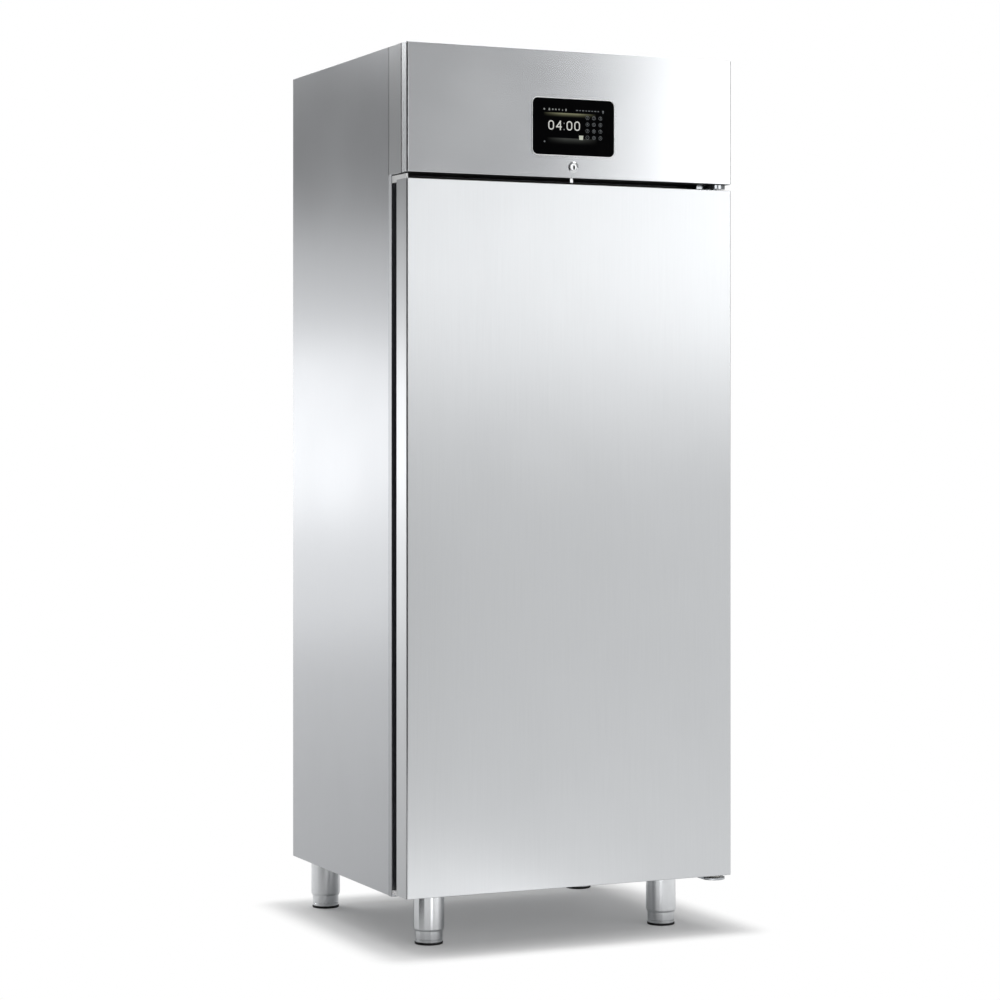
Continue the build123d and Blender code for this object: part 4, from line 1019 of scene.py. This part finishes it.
def make_display():
    """The lit marks: the clock, a row of signs, two soft bands, a key block and a start key."""
    bm = bmesh.new()
    for x in (-54.4, -10.1, 8.7):
        outer, inner = rounded_outline(13.8, 20.6, 6.8), rounded_outline(8.8, 15.6, 4.3)
        mark_hoop(bm, outer, inner, (x, CLOCK_ROW))
    top, corner, end, foot = (3.6, 8.9), (-5.6, -3.4), (5.6, -3.4), (3.6, -8.9)
    for bar in ((top, corner), (corner, end), (top, foot)):
        mark_outline(bm, bar_outline(*bar, 2.5), (-35.7, CLOCK_ROW))
    make_marks(bm, "display_figures", FIGURE_LIGHT)

    bm = bmesh.new()
    mark_outline(bm, [(-4.4, -4.6), (4.4, -4.6), (5.2, 4.6), (-5.2, 4.6)], (18.4, 1767))
    make_marks(bm, "display_start_key", START_LIGHT)

    bm = bmesh.new()
    for x, outline in (
        (-71, disc(2)), (-58.8, [(-1.2, 2.6), (1.2, 2.6), (2.2, -2.4), (-2.2, -2.4)]),
        (-50.5, disc(2, 6)), (-43.2, rounded_outline(3.8, 3, 0.9, 4)), (-35.2, disc(1.9, 6)),
        (-26.9, [(0, 2.2), (1.4, -2.2), (-1.4, -2.2)]), (-18.4, rounded_outline(3, 5, 0.9, 4)),
    ):
        mark_outline(bm, outline, (x, SIGN_ROW))
    for z in (1796.8, 1783.2):
        mark_outline(bm, disc(1.3), (-23, z))
    make_marks(bm, "display_signs", SIGN_LIGHT)

    bm = bmesh.new()
    for k in range(8):
        outline = rounded_outline(5.2 - 1.6 * (k % 2), 2, 0.8, 4)
        mark_outline(bm, outline, (8.5 + 7.4 * k, SIGN_ROW))
    mark_outline(bm, disc(2.2), (72, 1826.5))
    mark_outline(bm, rounded_outline(2.2, 2, 0.6, 4), (72, 1823))
    mark_outline(bm, disc(2), (-70.4, 1755.6))
    for k, key in enumerate("123456789-0+"):
        centre = (FIRST_KEY[0] + KEY_PITCH[0] * (k % 3), FIRST_KEY[1] - KEY_PITCH[1] * (k // 3))
        mark_hoop(bm, disc(4.3), disc(3.6), centre)
        add_lettering(bm, key, 7.5, centre)
    make_marks(bm, "display_keys", KEY_LIGHT)

    for name, middle, half, low, high, finish in (
        ("display_upper_band", -9, 64, 1809.5, 1819.4, OLIVE_BAND),
        ("display_lower_band", -3, 62, 1749, 1764.5, GREY_BAND),
    ):
        bm = bmesh.new()
        outline = rounded_outline(2 * half, high - low, 2, 4)
        mark_outline(bm, outline, (middle, (low + high) / 2), 0.05 * MM)
        make_marks(bm, name, finish)


# Tray racks


def make_runners():
    """The folded angle runners, one drawn and repeated up each side."""
    low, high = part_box("tray_runners")
    pitch = (high.z - low.z - RUNNER_DROP) / (TRAY_LEVELS - 1)
    outer, inner = 2.2 * MM, 0.8 * MM
    outline = [
        (0, -RUNNER_DROP), *arc(outer, 180, 90, 5, (outer, -outer)),
        (RUNNER_LIP, 0), (RUNNER_LIP, -RUNNER_SHEET),
        *arc(inner, 90, 180, 3, (RUNNER_SHEET + inner, -RUNNER_SHEET - inner)),
        (RUNNER_SHEET, -RUNNER_DROP),
    ]
    bm = bmesh.new()
    for side in (-1, 1):
        rings = [
            [Vector((side * (high.x - x), y, low.z + RUNNER_DROP + z)) for x, z in outline]
            for y in (low.y, high.y)
        ]
        add_rings(bm, rings, closed=False)
    levels = grown(outward(bm), ROWS, {
        "Count": TRAY_LEVELS, "Step": (0, 0, pitch), "Finish": LINER_STEEL,
    })
    make_piece(levels, "folded_runners", "liner_steel", "cabinet", ["tray_runners"])


def make_posts():
    """The channel posts of the rack, pierced by a slot between every two runners."""
    low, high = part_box("rack_uprights")
    runner_low, runner_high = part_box("tray_runners")
    face = runner_high.x
    half_width, half_height = POST_SLOT
    levels = [low.z]
    for level in range(TRAY_LEVELS - 1):
        middle = runner_low.z + RUNNER_DROP + RUNNER_PITCH * (level + 0.38)
        levels += [middle - half_height, middle + half_height]
    levels.append(high.z)
    bm = bmesh.new()
    for side in (-1, 1):
        for y0 in (low.y, high.y - POST_WIDTH):
            middle, y1 = y0 + POST_WIDTH / 2, y0 + POST_WIDTH
            line = (
                (high.x, y0), (face, y0), (face, middle - half_width), (face, middle + half_width),
                (face, y1), (high.x, y1),
            )
            grid = [[bm.verts.new((side * x, y, z)) for x, y in line] for z in levels]
            for row, (below, above) in enumerate(zip(grid, grid[1:])):
                for k in range(len(line) - 1):
                    if k == 2 and row % 2:
                        continue
                    corners = [below[k], below[k + 1], above[k + 1], above[k]]
                    bm.faces.new(corners if side < 0 else corners[::-1])
    piece = held_object("wall", bm)
    wall = piece.modifiers.new("wall", "SOLIDIFY")
    wall.thickness = POST_SHEET
    wall.offset = -1
    wall.use_even_offset = True
    edge = piece.modifiers.new("edge", "BEVEL")
    edge.width = 0.5 * MM
    edge.segments = 2
    edge.angle_limit = math.radians(50)
    posts = outward(taken_shape(piece))
    make_piece(posts, "slotted_posts", "liner_steel", "cabinet", ["rack_uprights"])


# Lamp, guard and fans


def make_lamp():
    """The opal light bar between two end caps."""
    low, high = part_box("interior_lamp")
    half = (high.y - low.y) / 2
    middle = (low.y + high.y) / 2
    thick = high.x - low.x
    outline = [(-half, 0)]
    outline += [(half * u, thick * (0.35 + 0.65 * v)) for u, v in arc(1, 180, 0, 12)]
    outline.append((half, 0))
    bm = bmesh.new()
    rings = [
        [Vector((low.x + out, middle + along, z)) for along, out in outline]
        for z in (low.z + LAMP_CAP, high.z - LAMP_CAP)
    ]
    add_rings(bm, rings, closed=False)
    make_piece(outward(bm), "lamp_diffuser", "white_plastic", "cabinet", ["interior_lamp"])
    make_blocks("lamp_end_caps", "grey_plastic", "cabinet", [
        ((low.x, low.y, z0), (high.x, high.y, z1))
        for z0, z1 in ((low.z, low.z + LAMP_CAP), (high.z - LAMP_CAP, high.z))
    ], fold=1.5 * MM)


def make_guard():
    """The wire guard: rings on two crossing wires, with an eyelet at each wire's end."""
    low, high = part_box("evaporator_fan_guard")
    centre = (low + high) / 2
    y = low.y + 1.7 * MM
    bm = bmesh.new()
    for ring in range(GUARD_RINGS):
        section = disc(GUARD_WIRE, 8, ((18 + 14.5 * ring) * MM, 0))
        add_turned(bm, section, (centre.x, y, centre.z), TO_BACK)
    reaches = arc(GUARD_REACH, 45, 315, 3)
    middle = Vector((centre.x, y + 2.2 * MM, centre.z))
    for x, z in reaches[:2]:
        along = Vector((x, 0, z))
        add_tube(bm, [middle - along, middle + along], GUARD_WIRE, 10)
    make_piece(
        outward(bm), "wire_guard", "bracket_steel", "cabinet", ["evaporator_fan_guard"], SCREW_ZINC
    )
    eyelets = [(centre.x + x, y - 0.4 * MM, centre.z + z) for x, z in reaches]
    make_screws("guard_screws", eyelets, (90, 0, 0), "cabinet", 4.6 * MM, 1.4 * MM)


def blade_sheet(lift):
    """A grid of points over one face of a swept blade, from its root to its tip."""
    sheet = []
    for share in (i / BLADE_STEPS for i in range(BLADE_STEPS + 1)):
        radius = (HUB_RADIUS - 2 * MM) * (1 - share) + BLADE_TIP * share
        chord = (34 + 20 * math.sin(share * 2.2)) * MM
        pitch = math.radians(34 - 12 * share)
        sweep = math.radians(10) * share * share
        row = []
        for across in (j / BLADE_STEPS - 0.5 for j in range(BLADE_STEPS + 1)):
            turn = across * chord * math.cos(pitch) / max(radius, 30 * MM) + sweep
            camber = 2.2 * MM * (1 - 4 * across * across)
            out = across * chord * math.sin(pitch) * 0.82 + camber
            reach = radius - 3 * MM * (2 * across) ** 4 * share
            row.append((reach * math.cos(turn), out + lift, reach * math.sin(turn)))
        sheet.append(row)
    return sheet


def make_fan(node, name, body):
    """A fan of swept blades round a hub with a rounded nose."""
    low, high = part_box(node)
    centre = (low + high) / 2
    last = BLADE_STEPS
    bm = bmesh.new()
    grids = [
        [[bm.verts.new(point) for point in row] for row in blade_sheet(lift)]
        for lift in (-BLADE_HALF, BLADE_HALF)
    ]
    for grid, flip in zip(grids, (1, -1)):
        for i in range(last):
            for j in range(last):
                corners = [grid[i][j], grid[i + 1][j], grid[i + 1][j + 1], grid[i][j + 1]]
                bm.faces.new(corners[::flip])
    rim = [(i, 0) for i in range(last)] + [(last, j) for j in range(last)]
    rim += [(i, last) for i in range(last, 0, -1)] + [(0, j) for j in range(last, 0, -1)]
    for (i0, j0), (i1, j1) in zip(rim, rim[1:] + rim[:1]):
        bm.faces.new([grids[0][i0][j0], grids[0][i1][j1], grids[1][i1][j1], grids[1][i0][j0]])
    blades = grown(outward(bm), ROUND, {
        "Count": BLADES, "Centre": tuple(centre), "Finish": BLACK_PLASTIC,
    })
    half = HUB_LENGTH / 2
    add_turned(blades, [
        (SHAFT_RADIUS, -half), *edge_points(HUB_NOSE, HUB_RADIUS, -half),
        *edge_points(HUB_EDGE, HUB_RADIUS, half), (SHAFT_RADIUS, half),
    ], centre, TO_BACK)
    bmesh.ops.recalc_face_normals(blades, faces=blades.faces)
    make_piece(blades, name, "black_plastic", body, [node])


# Cooling


def make_coil(node, name, tubes):
    """A heat exchanger: a pack of fins between end plates, with tubes through and bends outside."""
    low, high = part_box(node)
    pitch = (high.z - low.z - 8 * MM) / tubes
    reach = pitch / 2 + COIL_TUBE + COIL_PLATE
    x0, x1 = low.x + reach, high.x - reach
    y0, y1 = low.y + 3 * MM, high.y - 3 * MM
    z0, z1 = low.z + 4 * MM, high.z - 4 * MM
    middle = (y0 + y1) / 2
    bm = bmesh.new()
    add_block(bm, (x0 + MM, y0, z0), (x0 + MM + FIN_THICK, y1, z1))
    fins = grown(bm, ROWS, {
        "Count": int((x1 - x0) / FIN_PITCH), "Step": (FIN_PITCH, 0, 0), "Finish": COIL_FINS,
    })
    make_piece(fins, f"{name}_fins", "coil_fins", "cabinet", [node])
    make_blocks(f"{name}_end_plates", "galvanised", "cabinet", [
        ((x, low.y, low.z), (x + COIL_PLATE, high.y, high.z)) for x in (x0 - COIL_PLATE, x1)
    ], fold=0.4 * MM)
    bm = bmesh.new()
    for row in range(tubes):
        z = z0 + pitch * (row + 0.5)
        add_tube(bm, [Vector((x, middle, z)) for x in (x0 - 2.5 * MM, x1 + 2.5 * MM)], COIL_TUBE)
    for row in range(tubes - 1):
        side = 1 if row % 2 else -1
        edge = (x1 if side > 0 else x0) + side * COIL_PLATE
        z = z0 + pitch * (row + 1)
        bend = [
            Vector((edge + side * out, middle, z + up)) for out, up in arc(pitch / 2, -90, 90, 16)
        ]
        add_tube(bm, bend, COIL_TUBE)
    make_piece(outward(bm), f"{name}_tubes", "copper", "cabinet")


def make_compressor():
    """The pot of two drawn halves welded at a collar, on its foot plate, with its terminal box."""
    low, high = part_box("compressor")
    x, y = COMPRESSOR_AXIS
    pot, top = POT_RADIUS, high.z
    floor = low.z + FOOT_PLATE
    collar = ((-2, -5), (-0.4, -4), (0, -2), (0, 2), (-0.4, 4), (-2, 5))
    bm = bmesh.new()
    plate = rounded_outline(200 * MM, 170 * MM, 20 * MM)
    add_slab(bm, plate, Matrix.Translation((x, y, low.z)), FOOT_PLATE)
    add_turned(bm, [
        (0, floor - MM), (pot - 26 * MM, floor - MM),
        *arc(20 * MM, -90, 0, 6, (pot - 22 * MM, floor + 21 * MM)),
        *edge_points(collar, pot, low.z + POT_SEAM),
        *arc(POT_DOME, 0, 90, 9, (pot - POT_DOME - 2 * MM, top - POT_DOME)), (0, top),
    ], (x, y, 0), segments=96)
    terminals = (x + 68 * MM, y - 30 * MM, low.z + 46 * MM)
    add_block(bm, terminals, (x + 100 * MM, y + 30 * MM, low.z + 116 * MM))
    for axis, height in ((Vector((-1, 0, 0)), 106 * MM), (Vector((0, -1, 0)), 66 * MM)):
        start = Vector((x, y, low.z + height))
        add_tube(bm, [start + axis * 68 * MM, start + axis * 92 * MM], 7 * MM)
    fold_edges(bm, lambda p: p.x > x + 80 * MM, 3 * MM)
    make_piece(outward(bm), "compressor_pot", "black_paint", "cabinet", ["compressor"])


def make_inlet():
    """The cable inlet: a threaded body, a hexagon and a ribbed dome nut round an open bore."""
    low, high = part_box("cable_gland")
    centre = (low + high) / 2
    centre.y = 0
    bore, thread = 5 * MM, 10.9 * MM
    bm = bmesh.new()
    add_turned(bm, [
        (bore, low.y), *edge_points(((-0.5, 0), (0, 0.5)), thread, low.y),
        *edge_points(((0, 4.4), (-0.7, 5.4)), thread, BACK),
        *edge_points(((4.4, -0.8), (3.6, 0), (0.8, 0), (0, -0.8)), bore, high.y),
    ], centre, TO_BACK)
    add_rings(bm, [
        [centre + Vector((u * share, BACK + out * MM, v * share)) for u, v in disc(14 * MM, 6)]
        for share, out in ((1, 0), (1, 3.2), (0.93, 4))
    ], closed=False)
    make_piece(outward(bm), "cable_inlet", "black_plastic", "cabinet", ["cable_gland"])


# Screws


def perimeter(x, z0, z1, columns, rows):
    """Places along the edges of an upright rectangle, symmetrical about x = 0."""
    places = [(-x + 2 * x * k / columns, z) for k in range(columns + 1) for z in (z0, z1)]
    return places + [(side, z0 + (z1 - z0) * k / rows) for k in range(1, rows) for side in (-x, x)]


def make_fasteners():
    """The screws of the back sheet, the duct cover, the hinge plates and the two boxes."""
    edge = HALF - 2 * BACK_MARGIN
    bottom, top = BASE + BACK_MARGIN, TOP - BACK_MARGIN
    back = [(x, BACK, z) for x, z in perimeter(edge, bottom, top, 4, 9)]
    back += [(x, BACK, DECK_ROW) for x in (-edge / 2, 0, edge / 2)]
    make_screws("back_sheet_screws", back, (-90, 0, 0), "cabinet")

    low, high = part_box("air_duct_panel")
    edge, bottom, top = high.x - COVER_MARGIN, low.z + COVER_MARGIN, high.z - COVER_MARGIN
    cover = [(x, low.y, z) for x, z in perimeter(edge, bottom, top, 2, 5)]
    make_screws("duct_cover_screws", cover, (90, 0, 0), "cabinet", 4.5 * MM, 2.2 * MM)

    low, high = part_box("upper_hinge_bracket")
    under = [(low.x + x * MM, high.y - 12 * MM, low.z) for x in (16, 52)]
    make_screws("upper_hinge_screws", under, (180, 0, 0), "cabinet", 5 * MM, 2 * MM)

    low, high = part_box("lower_hinge_bracket")
    ends = (low.x + 12 * MM, high.x - 12 * MM)
    under = [(x, high.y - y * MM, low.z) for x in ends for y in (12, 52)]
    make_screws("lower_hinge_screws", under, (180, 0, 0), "cabinet", 5 * MM, 2.5 * MM)

    low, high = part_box("controller_housing")
    ends, heights = ((a + 9 * MM, b - 9 * MM) for a, b in ((low.x, high.x), (low.z, high.z)))
    lid = [(x, high.y - 2 * MM, z) for x in ends for z in heights]
    make_screws("control_box_screws", lid, (-90, 0, 0), "header", 3 * MM, 1.4 * MM)

    low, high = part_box("electrical_box")
    ends, depths = ((a + 12 * MM, b - 12 * MM) for a, b in ((low.x, high.x), (low.y, high.y)))
    lid = [(x, y, high.z) for x in ends for y in depths]
    make_screws("relay_box_screws", lid, (0, 0, 0), "cabinet", 3.5 * MM, 1.8 * MM)


make_sheet_pieces()
make_grip_ends()
make_lock()
make_gap_painted_shade()
make_legs()
make_seal()
make_display()
make_runners()
make_posts()
make_lamp()
make_guard()
make_fan("evaporator_fan", "evaporator_fan_rotor_blades", "evaporator_fan_rotor")
make_fan("condenser_fan", "condenser_fan_rotor_blades", "condenser_fan_rotor")
make_coil("evaporator_coil", "evaporator", 6)
make_coil("condenser_coil", "condenser", 8)
make_compressor()
make_inlet()
make_fasteners()

for subpart in frame["record"]["subparts"]:
    for place in frame["nodes"][subpart["node"]].material_slots:
        place.material = FINISHES[subpart["material_slot"]]


# Studio


def make_camera():
    """The camera of the photograph: level, to the left of the door and shifted down."""
    data = bpy.data.cameras.new("camera")
    data.sensor_width = SENSOR_WIDTH
    data.lens = SENSOR_WIDTH * FOCAL_PIXELS / FRAME_PIXELS
    data.shift_y = (HORIZON_PIXEL - FRAME_PIXELS / 2) / FRAME_PIXELS
    data.clip_start = 0.05
    data.clip_end = 200
    camera = bpy.data.objects.new("camera", data)
    camera.location = CAMERA_PLACE
    camera.rotation_euler = CAMERA_AIM.to_track_quat("-Z", "Y").to_euler()
    bpy.context.scene.collection.objects.link(camera)
    bpy.context.scene.camera = camera


def make_floor():
    """A plain pale floor that keeps the shadow near the cabinet and is white further out."""
    bm = bmesh.new()
    bmesh.ops.create_grid(bm, x_segments=2, y_segments=2, size=FLOOR_HALF)
    floor = held_object("floor", bm)
    material, tree, shader, place = new_material("studio_floor", "F4F4F4", 0, 0.9)
    split = add_node(tree, "ShaderNodeSeparateXYZ", links={"Vector": place})
    outside = {}
    for axis, half in (("X", HALF), ("Y", (BACK - FRONT) / 2)):
        away = add_node(
            tree, "ShaderNodeMath", {"operation": "ABSOLUTE"}, links={0: split.outputs[axis]}
        )
        past = add_node(
            tree, "ShaderNodeMath", {"operation": "SUBTRACT"}, {1: half}, {0: away.outputs["Value"]}
        )
        outside[axis] = add_node(
            tree, "ShaderNodeMath", {"operation": "MAXIMUM"}, {1: 0}, {0: past.outputs["Value"]}
        ).outputs["Value"]
    corner = add_node(tree, "ShaderNodeCombineXYZ", links=outside).outputs["Vector"]
    distance = add_node(
        tree, "ShaderNodeVectorMath", {"operation": "LENGTH"}, links={0: corner}
    ).outputs["Value"]
    rays = add_node(tree, "ShaderNodeLightPath").outputs
    mirrored = add_node(
        tree, "ShaderNodeMath", {"operation": "MAXIMUM"},
        links={0: rays["Is Glossy Ray"], 1: rays["Is Transmission Ray"]},
    ).outputs["Value"]
    to_front = spread(tree, split.outputs["Y"], 1, 0.25, (FRONT, 0))
    share = None
    for limits, start, end, least in (
        ([rays["Is Camera Ray"]], 0.0, 0.1, 0.16), ([mirrored, to_front], 0.0, 0.35, 0),
        ([mirrored], 0.3, 6.0, 0),
    ):
        part = add_node(
            tree, "ShaderNodeMapRange", {"interpolation_type": "SMOOTHSTEP"},
            {"From Min": start, "From Max": end, "To Min": least}, {"Value": distance},
        ).outputs["Result"]
        for limit in limits:
            part = add_node(
                tree, "ShaderNodeMath", {"operation": "MULTIPLY"}, links={0: limit, 1: part}
            ).outputs["Value"]
        share = part if share is None else add_node(
            tree, "ShaderNodeMath", {"operation": "MAXIMUM"}, links={0: share, 1: part}
        ).outputs["Value"]
    white = add_node(tree, "ShaderNodeEmission", values={"Color": (1, 1, 1, 1), "Strength": 1})
    mixed = add_node(
        tree, "ShaderNodeMixShader",
        links={0: share, 1: shader.outputs["BSDF"], 2: white.outputs["Emission"]},
    )
    output = add_node(
        tree, "ShaderNodeOutputMaterial", links={"Surface": mixed.outputs["Shader"]}
    )
    output.is_active_output = True
    floor.data.materials.append(material)


def make_world():
    """A white studio horizon under a dark ceiling."""
    world = bpy.data.worlds.new("studio")
    bpy.context.scene.world = world
    world.use_nodes = True
    tree = world.node_tree
    tree.nodes.clear()
    direction = add_node(tree, "ShaderNodeTexCoord").outputs["Generated"]
    height = add_node(tree, "ShaderNodeSeparateXYZ", links={"Vector": direction}).outputs["Z"]
    level = spread(tree, height, 1.0, 0.26, (0.0, 0.09))
    rays = add_node(tree, "ShaderNodeLightPath").outputs
    lit = add_node(
        tree, "ShaderNodeMath", {"operation": "MAXIMUM"}, links={0: level, 1: rays["Is Camera Ray"]}
    ).outputs["Value"]
    background = add_node(
        tree, "ShaderNodeBackground", values={"Color": (1, 1, 1, 1)}, links={"Strength": lit}
    )
    add_node(tree, "ShaderNodeOutputWorld", links={"Surface": background.outputs["Background"]})


def make_felt(name, rails):
    """A sheet of black felt between rails of two points, which the camera itself doesn't see."""
    bm = bmesh.new()
    made = [[bm.verts.new(point) for point in rail] for rail in rails]
    for left, right in zip(made, made[1:]):
        bm.faces.new((left[0], right[0], right[1], left[1]))
    felt = held_object(name, bm)
    felt.data.materials.append(BLACK_FELT)
    felt.visible_camera = False


def make_screens():
    """Black felt beside the camera and on the floor, for the dark lines in the round steel."""
    make_felt("black_screen", [
        [(x, y, z) for z in (0.002, SCREEN_HEIGHT)]
        for x, y in arc(SCREEN_RADIUS, -89, -194, 24, (-HALF, FRONT))
    ])
    low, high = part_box("front_left_leg")
    x, y = (low.x + high.x) / 2, (low.y + high.y) / 2
    rails = []
    for u, v in arc(1, -145, -190, 9):
        near = (-HALF - 0.21 - x) / u
        rails.append([(x + r * u, y + r * v, 0.003) for r in (near, CARD_REACH)])
    make_felt("black_floor_card", rails)


def make_softbox(name, place, aim, width, height, radiance):
    """A soft box that faces its aim, as bright as its radiance; white paper beside it is 1."""
    data = bpy.data.lights.new(name, "AREA")
    data.shape = "RECTANGLE"
    data.size = width
    data.size_y = height
    data.energy = radiance * math.pi * width * height
    lamp = bpy.data.objects.new(name, data)
    lamp.location = place
    lamp.rotation_euler = (Vector(aim) - Vector(place)).to_track_quat("-Z", "Y").to_euler()
    lamp.visible_camera = False
    bpy.context.scene.collection.objects.link(lamp)


make_camera()
make_floor()
make_world()
make_screens()
make_softbox("right_softbox", (3.35, -4.05, 2.2), (0, 0, 1.6), 2.2, 1.7, 2.6)
make_softbox("rear_softbox", (-2.6, 4.6, 1.1), (-0.4, 0, 1.1), 3.2, 1.7, 0.58)
make_softbox("rear_strip", (-2.5, 4.5, 1.12), (-0.4, 0, 1.12), 3.0, 0.7, 1.0)
make_softbox("rear_high_softbox", (-2.3, 4.3, 4.0), (-0.4, 0, 1.8), 3.0, 2.4, 4.0)
make_softbox("left_leg_strip", (-0.3, FRONT - 0.6, 0.01), (-0.3, FRONT - 0.6, 1), 0.1, 0.9, 1.8)
make_softbox("right_leg_strip", (0.08, FRONT - 0.6, 0.01), (0.08, FRONT - 0.6, 1), 0.1, 0.9, 1.8)
make_softbox("middle_softbox", (0.2, -5.32, 1.95), (-0.2, FRONT, 1.6), 1.2, 1.3, 3.2)
make_softbox("front_softbox", (1.9, -2.6, 3.6), (1.2, -2.0, 0), 2.0, 2.0, 2.6)
make_softbox("top_softbox", (0, 0.3, 4.5), (0, 0.3, 0), 4.0, 4.0, 2.0)

bpy.context.scene.view_settings.view_transform = "Standard"
